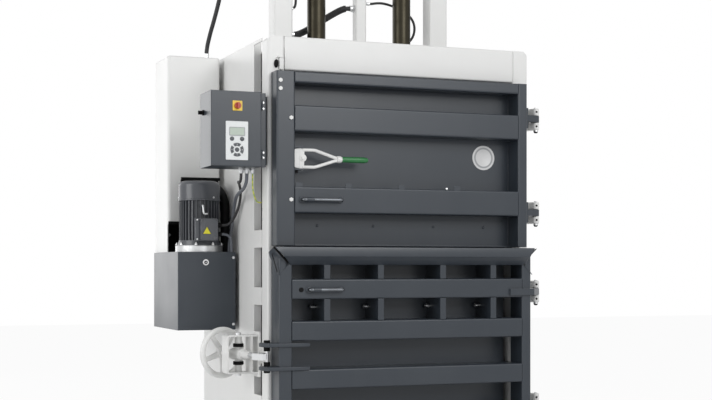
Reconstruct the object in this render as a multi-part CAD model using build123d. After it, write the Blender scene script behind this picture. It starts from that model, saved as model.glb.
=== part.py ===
"""Vertical recycling baler with two piston rods, an upper feed door and a lower bale door.

Units are millimetres. The origin is on the floor under the middle of the frame,
+X is to the right as seen from the doors, +Y is to the back and +Z is up.
"""

import math
import os

from build123d import *

# Overall frame
FRAME_WIDTH = 1372.0
FRAME_DEPTH = 1140.0
FRAME_HEIGHT = 2200.0
BASE_HEIGHT = 100.0
BASE_MEMBER = 90.0
BASE_MEMBER_COUNT = 5
BASE_WALL = 8.0
SHEET = 6.0
SEAT_GAP = 0.5
RUNNING_GAP = 0.05
MOVING_GAP = 5.0

# Front posts and header
POST_WIDTH = 84.0
POST_DEPTH = 95.0
POST_WALL = 6.0
POST_BEVEL = 22.0
HEADER_HEIGHT = 160.0
HEADER_DEPTH = 60.0

# Slots in the side walls
SLOT_DEPTH = 120.0
TIE_HEIGHT = 84.0
SLOT_TOP_MARGIN = 15.0
TIE_CENTRES = (285.0, 462.0, 699.0, 976.0, 1249.0)
SIDE_FLANGE = 30.0

# Bale chamber
CHAMBER_WIDTH = 1200.0
CHAMBER_DEPTH = 784.0
LINER = 10.0
LINER_TOP = 2030.0
SPACER = 80.0
SPACER_MARGIN = 300.0

# Portal over the frame
PORTAL_HEIGHT = 3200.0
PORTAL_WALL = 5.0
DECK_DROP = 45.0
DECK_BEAM_HEIGHT = 110.0
DECK_BEAM_WIDTH = 90.0
DECK_BEAM_OFFSET = 150.0
OUTER_POST_SIZE = 100.0
OUTER_POST_OFFSET = 435.0
CENTRE_POST_SIZE = 58.0
CROSSHEAD_HEIGHT = 100.0
CROSSHEAD_DEPTH = 180.0
CROSSHEAD_OVERHANG = 40.0

# Cylinders and ram
CYLINDER_OFFSET = 240.0
ROD_DIAMETER = 95.0
ROD_NECK_DIAMETER = 70.0
ROD_NUT_SIZE = 120.0
ROD_NUT_HEIGHT = 42.0
BARREL_DIAMETER = 150.0
BARREL_BORE = 131.0
BARREL_TOP = 2100.0
BARREL_FLOOR = 30.0
GLAND_HEIGHT = 50.0
PISTON_HEIGHT = 50.0
PISTON_GAP = 0.3
RAM_LOW = 900.0
RAM_STROKE = 950.0
RAM_PLATE = 20.0
RAM_BOX_HEIGHT = 80.0
RAM_SIDE_GAP = 15.0
RAM_END_GAP = 10.0
RAM_WALL = 12.0

# Doors, shared
DOOR_LEFT = -668.0
DOOR_RIGHT = 641.0
DOOR_BACK_GAP = 1.0
RIGHT_STILE = 50.0
BEND = 8.0
RAIL_WALL = 4.0

# Upper door
UPPER_BOTTOM = 1214.0
UPPER_TOP = 2025.0
UPPER_THICKNESS = 82.0
UPPER_RECESS = 109.0
UPPER_LEFT_STILE = 90.0
UPPER_TOP_RAIL = 52.0
UPPER_RIBS = ((1367.0, 1490.0), (1747.0, 1868.0))

# Lower door
LOWER_BOTTOM = 106.0
LOWER_TOP = 1164.0
LOWER_THICKNESS = 120.0
LOWER_RECESS = 165.0
LOWER_LEFT_STILE = 63.0
LOWER_RAILS = ((106.0, 192.0), (324.0, 416.0), (548.0, 640.0), (772.0, 864.0), (966.0, 1059.0), (1129.0, 1164.0))
WINDOW_ROWS = ((864.0, 966.0), (1059.0, 1129.0))
DIVIDER_WIDTH = 30.0
DIVIDER_OFFSETS = (-433.0, -162.0, 162.0, 433.0)
CORE_SIDE_GAP = 28.0
LIP_RISE = 45.0
LIP_FLARE = 42.0
LIP_SHEET = 5.0
WING_DROP = 88.0

# Retaining claws in the lower door
CLAW_THICKNESS = 12.0
CLAW_REACH = 210.0
CLAW_HEIGHT = 28.0
CLAW_PIN = 12.0
CLAW_PIVOT_DEPTH = 135.0
CLAW_PIVOT_Z = 925.0
CLAW_SWING = 38.0
CLAW_SLOT_GAP = 3.0

# Door hinges
HINGE_X = 716.0
HINGE_AHEAD = 32.0
HINGE_PIN = 16.0
KNUCKLE_DIAMETER = 34.0
DOOR_KNUCKLE = 32.0
FRAME_KNUCKLE = 38.0
KNUCKLE_GAP = 0.5
UPPER_HINGES = (1387.0, 1857.0)
LOWER_HINGES = (426.0, 992.0)
LUG_DEPTH = 80.0
LUG_PLATE = 12.0
STRAP = 12.0
STRAP_REACH = 120.0

# Door latch lever
LATCH_X = -548.0
LATCH_BACK = 22.0
LATCH_Z = 1622.0
FORK_SPREAD = 80.0
FORK_ROD = 15.0
FORK_LENGTH = 212.0
FORK_STRAIGHT = 80.0
GRIP_LENGTH = 118.0
GRIP_DIAMETER = 30.0
LATCH_PIN = 14.0
CAM_DIAMETER = 52.0
EAR_THICKNESS = 8.0

# Grab handles
HANDLE_ROD = 18.0
HANDLE_REACH = 160.0
HANDLE_STANDOFF = 38.0
HANDLE_FOOT = 8.0
UPPER_HANDLE_X = -545.0
UPPER_HANDLE_Z = 1428.0
LOWER_HANDLE_X = -525.0
LOWER_HANDLE_Z = 1009.0

# Door lock with handwheel, in its own frame: x along the spindle to the door pin
LOCK_X = -778.0
LOCK_Y = -400.0
LOCK_Z = 700.0
LOCK_SLANT = 16.8
LOCK_PIN_REACH = 240.0
LOCK_PIN = 16.0
LUG_SPACING = 109.0
LUG_THICKNESS = 8.0
LUG_END_X = -745.0
LUG_INNER_X = -515.0
SPINDLE_DIAMETER = 24.0
WHEEL_REACH = 141.0
WHEEL_DIAMETER = 250.0
WHEEL_RIM = 28.0
WHEEL_HUB = 62.0
WHEEL_SPOKES = 5
NUT_DIAMETER = 56.0
NUT_LENGTH = 84.0
SLEEVE_DIAMETER = 36.0
SLEEVE_LENGTH = 60.0
TRUNNION_PIN = 16.0
BRACKET_HEIGHT = 184.0
BRACKET_DEPTH = 90.0
BRACKET_PLATE = 8.0
BRACKET_OUTER_X = -846.0
BRACKET_INNER_X = -720.0
HOOK_HEIGHT = 30.0
HOOK_ARM = 16.0

# Control box
BOX_LEFT = -970.0
BOX_RIGHT = -730.0
BOX_FRONT = -612.0
BOX_BACK = -418.0
BOX_BOTTOM = 1578.0
BOX_TOP = 1925.0
BOX_SHEET = 2.5
BOX_DOOR = 18.0
LID_KNUCKLE = 9.0
LID_KNUCKLE_HEIGHT = 20.0
LID_PIN = 4.0

# Power unit beside the frame
CABINET_LEFT = -1000.0
CABINET_RIGHT = -706.0
CABINET_FRONT = -110.0
CABINET_BACK = 410.0
CABINET_BOTTOM = 803.0
CABINET_TOP = 1190.0
CABINET_SHEET = 4.0
CABINET_COVER = 16.0
HOOD_FRONT = 160.0
HOOD_BACK = 450.0
HOOD_LEFT = -985.0
HOOD_RIGHT = -712.0
HOOD_TOP = 2195.0
HOOD_CORNER = 14.0
HOOD_CUT_TOP = 1562.0
HOOD_CUT_LEFT = -920.0
HOOD_CUT_STEP = 1335.0

# Motor
MOTOR_X = -855.0
MOTOR_Y = 35.0
MOTOR_RADIUS = 88.0
FIN_HEIGHT = 14.0
FIN_THICKNESS = 4.0
FIN_COUNT = 32
MOTOR_BODY_BOTTOM = 1222.0
MOTOR_BODY_TOP = 1446.0
FLANGE_DIAMETER = 236.0
FLANGE_HEIGHT = 32.0
COWL_DIAMETER = 210.0
COWL_HEIGHT = 100.0
COWL_SHEET = 3.0
SHAFT_DIAMETER = 28.0
FAN_DIAMETER = 170.0
FAN_BLADES = 8

# Terminal box, lifting hook and cable glands
TERMINAL_WIDTH = 110.0
TERMINAL_HEIGHT = 114.0
TERMINAL_DEPTH = 46.0
TERMINAL_Z = 1300.0
TERMINAL_GLAND_PITCH = 44.0
HOOK_OFFSET = -12.0
HOOK_Z = 1420.0
HOOK_ROD = 10.0
GLAND_NUT = 24.0
GLAND_LENGTH = 26.0
CONTROL_GLANDS = (-800.0, -772.0, -744.0)
CONTROL_GLAND_Y = -520.0

# Switch, keypad and locks on the front
SWITCH_X = -845.0
SWITCH_Z = 1857.0
SWITCH_SHAFT = 14.0
SWITCH_PLATE = 46.0
SWITCH_KNOB = 30.0
PANEL_X = -848.0
PANEL_Z = 1696.0
PANEL_WIDTH = 106.0
PANEL_HEIGHT = 178.0
PANEL_DEPTH = 5.0
DISPLAY_Z = 1738.0
KEY_RADIUS = 10.0
KEY_PLACES = ((-24.0, -2.0), (24.0, -2.0), (0.0, -24.0), (-24.0, -50.0), (0.0, -50.0), (24.0, -50.0), (0.0, -76.0))
LOCK_BORE = 18.0
SIDE_LOCK_DEPTH = 62.0
SIDE_LOCK_DROP = 92.0
CABINET_LOCK_X = -860.0
CABINET_LOCK_Z = 1138.0

# Cords held by the machine
PRESSURE_HOSE = 24.0
THIN_HOSE = 13.0
SUPPLY_HOSE = 22.0
CONDUIT = 16.0
CABLE = 13.0
EARTH_WIRE = 7.0

# Values that follow from the sizes above
HALF_WIDTH = FRAME_WIDTH / 2
SADDLE_REACH = MOTOR_RADIUS + FIN_HEIGHT + 1
FRONT = -FRAME_DEPTH / 2
BACK = FRAME_DEPTH / 2
OPENING = HALF_WIDTH - POST_WIDTH
HALF_CHAMBER = CHAMBER_WIDTH / 2
CHAMBER_BACK = CHAMBER_DEPTH / 2
DECK_TOP = FRAME_HEIGHT - DECK_DROP
PORTAL_TOP = PORTAL_HEIGHT + ROD_NUT_HEIGHT
DOOR_BACK = FRONT - DOOR_BACK_GAP
UPPER_FRONT = FRONT - UPPER_THICKNESS
UPPER_SKIN = UPPER_FRONT + UPPER_RECESS
LOWER_FRONT = FRONT - LOWER_THICKNESS
LOWER_SKIN = LOWER_FRONT + LOWER_RECESS
HINGE_Y = FRONT - HINGE_AHEAD
LATCH_Y = UPPER_FRONT + LATCH_BACK
CLAW_Y = LOWER_FRONT + CLAW_PIVOT_DEPTH
LOCK_ANGLE = -(90.0 - LOCK_SLANT)
LOCK_FRAME = Pos(LOCK_X, LOCK_Y, LOCK_Z) * Rot(0, 0, LOCK_ANGLE)
RAM_TOP = RAM_LOW + RAM_PLATE + RAM_BOX_HEIGHT


def block(x_min, x_max, y_min, y_max, z_min, z_max):
    """A cuboid between two corners."""
    centre = Pos((x_min + x_max) / 2, (y_min + y_max) / 2, (z_min + z_max) / 2)
    return centre * Box(x_max - x_min, y_max - y_min, z_max - z_min)


def bar(diameter, start, end):
    """A round bar between two points."""
    axis = Vector(*end) - Vector(*start)
    plane = Plane(origin=start, z_dir=axis)
    return extrude(plane * Circle(diameter / 2), axis.length)


def upright(diameter, x, y, z_min, z_max):
    """A round bar along Z."""
    return bar(diameter, (x, y, z_min), (x, y, z_max))


def hollow_post(x, y, width, depth, wall, z_min, z_max):
    """A rectangular tube that stands on z_min."""
    corner = wall * 1.8
    outer = RectangleRounded(width, depth, corner)
    inner = RectangleRounded(width - 2 * wall, depth - 2 * wall, corner - wall)
    return Pos(x, y, z_min) * extrude(outer - inner, z_max - z_min)


def hollow_beam(x_min, x_max, y, z, depth, height, wall):
    """A rectangular tube along X, centred at y and z."""
    corner = wall * 1.8
    plane = Plane(origin=(x_min, y, z), x_dir=(0, 1, 0), z_dir=(1, 0, 0))
    outer = RectangleRounded(depth, height, corner)
    inner = RectangleRounded(depth - 2 * wall, height - 2 * wall, corner - wall)
    return extrude(plane * (outer - inner), x_max - x_min)


def channel(x_min, x_max, y_front, depth, z_min, z_max):
    """A folded channel along X, with its web to the front and round bends."""
    height = z_max - z_min
    outer = Pos(depth / 2, height / 2) * Rectangle(depth, height)
    outer = fillet(outer.vertices().group_by(Axis.X)[0], BEND)
    inner = Pos(depth / 2 + RAIL_WALL, height / 2) * Rectangle(depth, height - 2 * RAIL_WALL)
    inner = fillet(inner.vertices().group_by(Axis.X)[0], BEND - RAIL_WALL)
    plane = Plane(origin=(x_min, y_front, z_min), x_dir=(0, 1, 0), z_dir=(1, 0, 0))
    return extrude(plane * (outer - inner), x_max - x_min)


def stile(x_min, x_max, y_front, y_back, z_min, z_max):
    """An upright folded box with round front bends."""
    outer = Pos((x_min + x_max) / 2, (y_front + y_back) / 2) * Rectangle(x_max - x_min, y_back - y_front)
    outer = fillet(outer.vertices().group_by(Axis.Y)[0], BEND)
    inner = offset(outer, -RAIL_WALL)
    return Pos(0, 0, z_min) * extrude(outer - inner, z_max - z_min)


def plate_profile(points, z_min, z_max):
    """A flat plate with the outline of points, lying level."""
    face = make_face(Polyline(*points, close=True))
    return Pos(0, 0, z_min) * extrude(face, z_max - z_min)


def side_profile(points, x_min, x_max):
    """A plate with its outline given as (y, z) points, from x_min to x_max."""
    face = make_face(Polyline(*points, close=True))
    plane = Plane(origin=(x_min, 0, 0), x_dir=(0, 1, 0), z_dir=(1, 0, 0))
    return extrude(plane * face, x_max - x_min)


def hose(name, points, diameter):
    """A tube of straight runs joined by tangent arcs, as large as the runs allow."""
    stops = [Vector(*point) for point in points]
    radii = []
    for before, here, after in zip(stops, stops[1:], stops[2:]):
        turn = math.radians((here - before).get_angle(after - here))
        shorter = min((here - before).length, (after - here).length)
        radii.append(0.45 * shorter / math.tan(turn / 2))
    path = FilletPolyline(*points, radius=radii)
    start = Plane(origin=path @ 0, z_dir=path % 0)
    tube = sweep(start * Circle(diameter / 2), path=path)
    section = math.pi * diameter**2 / 4
    spread = tube.volume / (section * path.length)
    print(f"{name}: length {path.length:.0f}, smallest radius {min(radii):.0f}, volume ratio {spread:.4f}")
    return tube


def build_base():
    """Welded tubes under the chamber floor: two sills with open ends and cross members between them."""
    height = BASE_HEIGHT - LINER
    x = HALF_WIDTH - BASE_MEMBER
    low, high = BASE_WALL, height - BASE_WALL
    pitch = (FRAME_DEPTH - BASE_MEMBER) / (BASE_MEMBER_COUNT - 1)
    centres = [FRONT + BASE_MEMBER / 2 + index * pitch for index in range(BASE_MEMBER_COUNT)]
    base = block(-HALF_WIDTH, HALF_WIDTH, FRONT, BACK, height, BASE_HEIGHT)
    base += block(-HALF_WIDTH, -x, FRONT, BACK, 0, height)
    base += block(x, HALF_WIDTH, FRONT, BACK, 0, height)
    for y in centres:
        base += block(-x, x, y - BASE_MEMBER / 2, y + BASE_MEMBER / 2, 0, height)
    for side in (-1, 1):
        outer, inner = side * (HALF_WIDTH - BASE_WALL), side * (x + BASE_WALL)
        base -= block(min(outer, inner), max(outer, inner), FRONT - 1, BACK + 1, low, high)
    for y in centres:
        base -= block(-x - BASE_WALL - 1, x + BASE_WALL + 1, y - BASE_MEMBER / 2 + BASE_WALL,
                      y + BASE_MEMBER / 2 - BASE_WALL, low, high)
    return base


def build_corner_posts():
    """The two front posts, with bevelled tops at their outer edges."""
    posts = []
    for side in (-1, 1):
        x = side * (HALF_WIDTH - POST_WIDTH / 2)
        y = FRONT + POST_DEPTH / 2
        post = hollow_post(x, y, POST_WIDTH, POST_DEPTH, POST_WALL, BASE_HEIGHT, FRAME_HEIGHT)
        post += block(x - POST_WIDTH / 2 + POST_WALL, x + POST_WIDTH / 2 - POST_WALL,
                      FRONT + POST_WALL, FRONT + POST_DEPTH - POST_WALL,
                      FRAME_HEIGHT - POST_BEVEL - POST_WALL, FRAME_HEIGHT - POST_BEVEL)
        cutter = Pos(side * HALF_WIDTH, y, FRAME_HEIGHT) * Rot(0, 45, 0)
        post -= cutter * Box(POST_BEVEL * math.sqrt(2), POST_DEPTH + 1, POST_BEVEL * math.sqrt(2))
        posts.append(post)
    return Compound(children=posts)


def build_side_wall(side):
    """Outer sheet of one side, with a column of slots behind the front post."""
    wall_front = FRONT + POST_DEPTH
    outer = side * HALF_WIDTH
    inner = outer - side * SHEET
    wall = block(min(outer, inner), max(outer, inner), wall_front, BACK, BASE_HEIGHT, FRAME_HEIGHT)
    flange = inner - side * SIDE_FLANGE
    for y in (wall_front + SLOT_DEPTH, BACK - SHEET):
        wall += block(min(inner, flange), max(inner, flange), y, y + SHEET, BASE_HEIGHT, FRAME_HEIGHT)
    edges = [BASE_HEIGHT + TIE_HEIGHT / 2]
    for centre in TIE_CENTRES:
        edges += [centre - TIE_HEIGHT / 2, centre + TIE_HEIGHT / 2]
    edges.append(FRAME_HEIGHT - SLOT_TOP_MARGIN)
    for low, high in zip(edges[::2], edges[1::2]):
        wall -= block(min(outer, inner) - 1, max(outer, inner) + 1, wall_front, wall_front + SLOT_DEPTH, low, high)
    return wall


def build_rear_wall():
    """Back sheet with five folded ribs on its outside."""
    x = HALF_WIDTH - SHEET - SIDE_FLANGE
    wall = block(-x, x, BACK - SHEET, BACK, BASE_HEIGHT, FRAME_HEIGHT)
    rib_height = 110.0
    rib_depth = 50.0
    count = 5
    pitch = (FRAME_HEIGHT - BASE_HEIGHT) / count
    for index in range(count):
        low = BASE_HEIGHT + pitch * (index + 0.5) - rib_height / 2
        rib = channel(-x, x, -BACK - rib_depth, rib_depth, low, low + rib_height)
        wall += rib.rotate(Axis.Z, 180)
    return wall


def build_liner():
    """Three wall plates of the chamber, and the blocks that hold them off the outer sheets."""
    outer = HALF_CHAMBER + LINER
    side_front = FRONT + POST_DEPTH
    centres = (BASE_HEIGHT + SPACER_MARGIN, (BASE_HEIGHT + LINER_TOP) / 2, LINER_TOP - SPACER_MARGIN)
    half = SPACER / 2
    parts = [block(-outer, outer, CHAMBER_BACK, CHAMBER_BACK + LINER, BASE_HEIGHT, LINER_TOP)]
    for side in (-1, 1):
        inner_x, outer_x = side * HALF_CHAMBER, side * outer
        parts.append(block(min(inner_x, outer_x), max(inner_x, outer_x), side_front, CHAMBER_BACK,
                           BASE_HEIGHT, LINER_TOP))
        wall = side * (HALF_WIDTH - SHEET)
        for z in centres:
            parts.append(block(min(outer_x, wall), max(outer_x, wall), -half, half, z - half, z + half))
    for z in (centres[0], centres[2]):
        parts.append(block(-SPACER, SPACER, CHAMBER_BACK + LINER, BACK - SHEET, z - half, z + half))
    return Compound(children=parts)


def build_header():
    """Folded front beam over the upper door."""
    beam = channel(-OPENING, OPENING, FRONT, HEADER_DEPTH, FRAME_HEIGHT - HEADER_HEIGHT, FRAME_HEIGHT)
    return beam


def build_top_frame():
    """Deck plate on two beams, with holes for the cylinder barrels."""
    inner = HALF_WIDTH - SHEET
    bottom = DECK_TOP - LINER
    deck = block(-inner, inner, FRONT + POST_DEPTH, BACK - SHEET, bottom, DECK_TOP)
    deck += block(-OPENING, OPENING, FRONT + HEADER_DEPTH, FRONT + POST_DEPTH, bottom, DECK_TOP)
    for side in (-1, 1):
        hole = upright(BARREL_DIAMETER + 4 * MOVING_GAP, side * CYLINDER_OFFSET, 0, bottom - 1, DECK_TOP + 1)
        deck -= hole
        centre_z = bottom - DECK_BEAM_HEIGHT / 2
        deck += hollow_beam(-inner, inner, side * DECK_BEAM_OFFSET, centre_z,
                            DECK_BEAM_WIDTH, DECK_BEAM_HEIGHT, SHEET)
        flange = side * (inner - SIDE_FLANGE)
        low, high = min(flange, side * inner), max(flange, side * inner)
        deck -= block(low - 1, high + 1, FRONT + POST_DEPTH, FRONT + POST_DEPTH + SLOT_DEPTH + SHEET,
                      bottom - 1, DECK_TOP + 1)
        deck -= block(low - 1, high + 1, BACK - SHEET, BACK, bottom - 1, DECK_TOP + 1)
    return deck


def build_portal():
    """Two outer posts and a slimmer centre post, welded under the crosshead."""
    portal = build_crosshead()
    high = PORTAL_HEIGHT - CROSSHEAD_HEIGHT
    for x, size in ((-OUTER_POST_OFFSET, OUTER_POST_SIZE), (0, CENTRE_POST_SIZE), (OUTER_POST_OFFSET, OUTER_POST_SIZE)):
        portal += hollow_post(x, 0, size, size, PORTAL_WALL, DECK_TOP, high)
    return portal


def build_crosshead():
    """Box beam that holds the tops of both piston rods."""
    reach = OUTER_POST_OFFSET + OUTER_POST_SIZE / 2 + CROSSHEAD_OVERHANG
    centre = PORTAL_HEIGHT - CROSSHEAD_HEIGHT / 2
    beam = hollow_beam(-reach, reach, 0, centre, CROSSHEAD_DEPTH, CROSSHEAD_HEIGHT, 2 * SHEET)
    half = CROSSHEAD_DEPTH / 2 - 2 * SHEET
    web = CROSSHEAD_HEIGHT / 2 - 2 * SHEET
    for side in (-1, 1):
        end = side * reach
        inner = end - side * SHEET
        beam += block(min(end, inner), max(end, inner), -half, half, centre - web, centre + web)
        x = side * CYLINDER_OFFSET
        beam += block(x - half, x + half, -half, half, centre - web, centre + web)
        beam -= upright(ROD_NECK_DIAMETER, x, 0, centre - CROSSHEAD_HEIGHT, centre + CROSSHEAD_HEIGHT)
    return beam


def build_piston_rods():
    """Fixed rods with a piston at the foot and a threaded neck at the top."""
    rods = []
    shoulder = PORTAL_HEIGHT - CROSSHEAD_HEIGHT
    piston_top = BARREL_TOP - GLAND_HEIGHT - 2 * MOVING_GAP
    piston_low = piston_top - PISTON_HEIGHT
    piston_radius = BARREL_BORE / 2 - PISTON_GAP
    for side in (-1, 1):
        profile = Polyline(
            (0, piston_low), (piston_radius, piston_low), (piston_radius, piston_top),
            (ROD_DIAMETER / 2, piston_top), (ROD_DIAMETER / 2, shoulder),
            (ROD_NECK_DIAMETER / 2, shoulder), (ROD_NECK_DIAMETER / 2, PORTAL_TOP + 6),
            (0, PORTAL_TOP + 6), close=True)
        face = Plane.XZ * make_face(profile)
        rods.append(Pos(side * CYLINDER_OFFSET, 0, 0) * revolve(face, Axis.Z))
    return Compound(children=rods)


def build_frame_fasteners():
    """Rod nuts, door hinge pins, trunnion pins of the lock and box fixing bolts."""
    parts = build_hinge_pins()
    for side in (-1, 1):
        nut = RegularPolygon(ROD_NUT_SIZE / 2, 6, major_radius=False) - Circle(ROD_NECK_DIAMETER / 2)
        parts.append(Pos(side * CYLINDER_OFFSET, 0, PORTAL_HEIGHT) * extrude(nut, ROD_NUT_HEIGHT))
    for sign in (-1, 1):
        inner = LOCK_Z + sign * (NUT_DIAMETER / 2 - 14)
        outer = LOCK_Z + sign * (BRACKET_HEIGHT / 2 + 10)
        pin = upright(TRUNNION_PIN, LOCK_X, LOCK_Y, min(inner, outer), max(inner, outer))
        face = LOCK_Z + sign * BRACKET_HEIGHT / 2
        pin += upright(TRUNNION_PIN + 12, LOCK_X, LOCK_Y, min(face, outer), max(face, outer))
        parts.append(pin)
    for z in (BOX_BOTTOM + 34, BOX_BOTTOM + 52, BOX_TOP - 52, BOX_TOP - 34):
        parts.append(bar(12, (-HALF_WIDTH - SHEET, FRONT + 40, z), (-HALF_WIDTH - SHEET - 7, FRONT + 40, z)))
    return Compound(children=parts)


def hinge_outline(reach_y):
    """Plan outline of a frame hinge lug: a pad on the side wall drawn out to the pin."""
    pad = Pos(HALF_WIDTH + LUG_PLATE / 2, reach_y + LUG_DEPTH / 2) * Rectangle(LUG_PLATE, LUG_DEPTH)
    eye = Pos(HINGE_X, HINGE_Y) * Circle(KNUCKLE_DIAMETER / 2)
    arm = Pos(HALF_WIDTH + LUG_PLATE / 2, reach_y + LUG_DEPTH / 4) * Rectangle(LUG_PLATE, LUG_DEPTH / 2)
    return pad + make_hull((arm + eye).edges())


def build_hinge_lugs():
    """White frame lugs above and below each door knuckle."""
    lugs = []
    half = DOOR_KNUCKLE / 2 + KNUCKLE_GAP
    for z in UPPER_HINGES + LOWER_HINGES:
        outline = hinge_outline(FRONT + MOVING_GAP)
        pad = block(HALF_WIDTH, HALF_WIDTH + LUG_PLATE, FRONT + MOVING_GAP, FRONT + MOVING_GAP + LUG_DEPTH,
                    z - half - FRAME_KNUCKLE, z + half + FRAME_KNUCKLE)
        lug = pad
        for low in (z + half, z - half - FRAME_KNUCKLE):
            eye = extrude(outline, FRAME_KNUCKLE)
            rim = eye.edges().filter_by(GeomType.CIRCLE).filter_by(lambda edge: edge.radius > KNUCKLE_DIAMETER / 2 - 1)
            eye = fillet(rim, KNUCKLE_DIAMETER / 5)
            lug += Pos(0, 0, low) * eye
        lug -= upright(HINGE_PIN, HINGE_X, HINGE_Y, z - 100, z + 100)
        lugs.append(lug)
    return Compound(children=lugs)


def build_hinge_pins():
    """Headed pins, one in each hinge."""
    pins = []
    reach = DOOR_KNUCKLE / 2 + KNUCKLE_GAP + FRAME_KNUCKLE
    for z in UPPER_HINGES + LOWER_HINGES:
        pin = upright(HINGE_PIN, HINGE_X, HINGE_Y, z - reach - 8, z + reach + 4)
        pin += upright(HINGE_PIN + 8, HINGE_X, HINGE_Y, z - reach - 8, z - reach)
        pins.append(pin)
    return pins


def build_upper_skin():
    """Dished panel behind the upper door frame."""
    left = DOOR_LEFT + UPPER_LEFT_STILE - 2 * SHEET
    right = DOOR_RIGHT - RIGHT_STILE + SHEET
    low = UPPER_BOTTOM
    high = UPPER_TOP - 2 * MOVING_GAP
    tray = block(left, right, DOOR_BACK, UPPER_SKIN + SHEET, low, high)
    tray -= block(left + SHEET, right - SHEET, DOOR_BACK - 1, UPPER_SKIN, low + SHEET, high - SHEET)
    return tray


def build_upper_frame():
    """Stiles, top rail, two deep ribs, latch ears and hinge leaves of the welded door frame."""
    inner_left = DOOR_LEFT + UPPER_LEFT_STILE
    inner_right = DOOR_RIGHT - RIGHT_STILE
    parts = [stile(DOOR_LEFT, inner_left, UPPER_FRONT, DOOR_BACK, UPPER_BOTTOM, UPPER_TOP),
             stile(inner_right, DOOR_RIGHT, UPPER_FRONT, DOOR_BACK, UPPER_BOTTOM, UPPER_TOP)]
    rail_depth = DOOR_BACK - UPPER_FRONT
    parts.append(channel(inner_left, inner_right, UPPER_FRONT, rail_depth, UPPER_TOP - UPPER_TOP_RAIL, UPPER_TOP))
    for low, high in UPPER_RIBS:
        parts.append(channel(inner_left, inner_right, UPPER_FRONT, UPPER_RECESS, low, high))
    for sign in (-1, 1):
        z = LATCH_Z + sign * (FORK_SPREAD / 2 + FORK_ROD / 2 + SEAT_GAP)
        low, high = min(z, z + sign * EAR_THICKNESS), max(z, z + sign * EAR_THICKNESS)
        ear = block(inner_left, LATCH_X + LATCH_PIN, LATCH_Y - LATCH_PIN, LATCH_Y + LATCH_PIN, low, high)
        parts.append(ear - upright(LATCH_PIN - 4, LATCH_X, LATCH_Y, low - 1, high + 1))
    return Compound(children=parts + build_upper_leaves())


def build_latch_fork():
    """Two bent rods that join in a collar, with a cam at their hinge."""
    half = FORK_SPREAD / 2
    neck = 7.0
    fork = upright(FORK_ROD, LATCH_X, LATCH_Y, LATCH_Z - half - FORK_ROD / 2, LATCH_Z + half + FORK_ROD / 2)
    stub = LATCH_PIN - 4 - 2 * RUNNING_GAP
    reach = half + FORK_ROD / 2 + SEAT_GAP + EAR_THICKNESS
    fork += upright(stub, LATCH_X, LATCH_Y, LATCH_Z - reach, LATCH_Z + reach)
    for sign in (-1, 1):
        path = FilletPolyline(
            (LATCH_X, LATCH_Y, LATCH_Z + sign * half),
            (LATCH_X + FORK_STRAIGHT, LATCH_Y, LATCH_Z + sign * half),
            (LATCH_X + FORK_LENGTH - 20, LATCH_Y, LATCH_Z + sign * neck),
            (LATCH_X + FORK_LENGTH, LATCH_Y, LATCH_Z + sign * neck), radius=18)
        start = Plane(origin=path @ 0, z_dir=path % 0)
        fork += sweep(start * Circle(FORK_ROD / 2), path=path)
    collar_x = LATCH_X + FORK_LENGTH - 12
    fork += bar(FORK_ROD + 17, (collar_x, LATCH_Y, LATCH_Z), (collar_x + 26, LATCH_Y, LATCH_Z))
    fork += upright(CAM_DIAMETER, LATCH_X, LATCH_Y, LATCH_Z - 8, LATCH_Z + 8)
    return fork


def build_latch_grip():
    """Rounded plastic grip, turned about the lever's axis."""
    start = LATCH_X + FORK_LENGTH + 14
    radius = GRIP_DIAMETER / 2
    profile = make_face(
        Polyline((0, 0), (0, radius * 0.8), (8, radius))
        + Spline((8, radius), (GRIP_LENGTH * 0.55, radius * 0.82), (GRIP_LENGTH, 0),
                 tangents=((1, 0), (0.3, -1)))
        + Line((GRIP_LENGTH, 0), (0, 0)))
    grip = revolve(Plane.XZ * profile, Axis.X)
    return Pos(start, LATCH_Y, LATCH_Z) * grip


def grab_handle(x, y_face, z):
    """A bent round bar with a foot plate at each end."""
    out = y_face - HANDLE_STANDOFF
    end = x + HANDLE_REACH
    path = FilletPolyline((x, y_face, z), (x, out, z), (end, out, z), (end, y_face, z), radius=HANDLE_ROD)
    start = Plane(origin=path @ 0, z_dir=path % 0)
    handle = sweep(start * Circle(HANDLE_ROD / 2), path=path)
    for foot in (x, end):
        plate = Plane(origin=(foot, y_face, z), z_dir=(0, -1, 0)) * RectangleRounded(48, 30, 6)
        handle += extrude(plate, HANDLE_FOOT)
    return handle


def build_upper_leaves():
    """Door hinge straps with the middle knuckle of each upper hinge."""
    leaves = []
    for z in UPPER_HINGES:
        pad = Pos(DOOR_RIGHT + STRAP / 2, UPPER_FRONT + 40) * Rectangle(STRAP, 56)
        eye = Pos(HINGE_X, HINGE_Y) * Circle(KNUCKLE_DIAMETER / 2)
        outline = make_hull((pad + eye).edges())
        leaf = Pos(0, 0, z - DOOR_KNUCKLE / 2) * extrude(outline, DOOR_KNUCKLE)
        plate_half = DOOR_KNUCKLE * 1.6
        leaf += block(DOOR_RIGHT, DOOR_RIGHT + STRAP, UPPER_FRONT + 12, UPPER_FRONT + 68, z - plate_half, z + plate_half)
        leaf -= upright(HINGE_PIN + 2 * RUNNING_GAP, HINGE_X, HINGE_Y, z - 50, z + 50)
        leaves.append(leaf)
    return leaves


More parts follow.
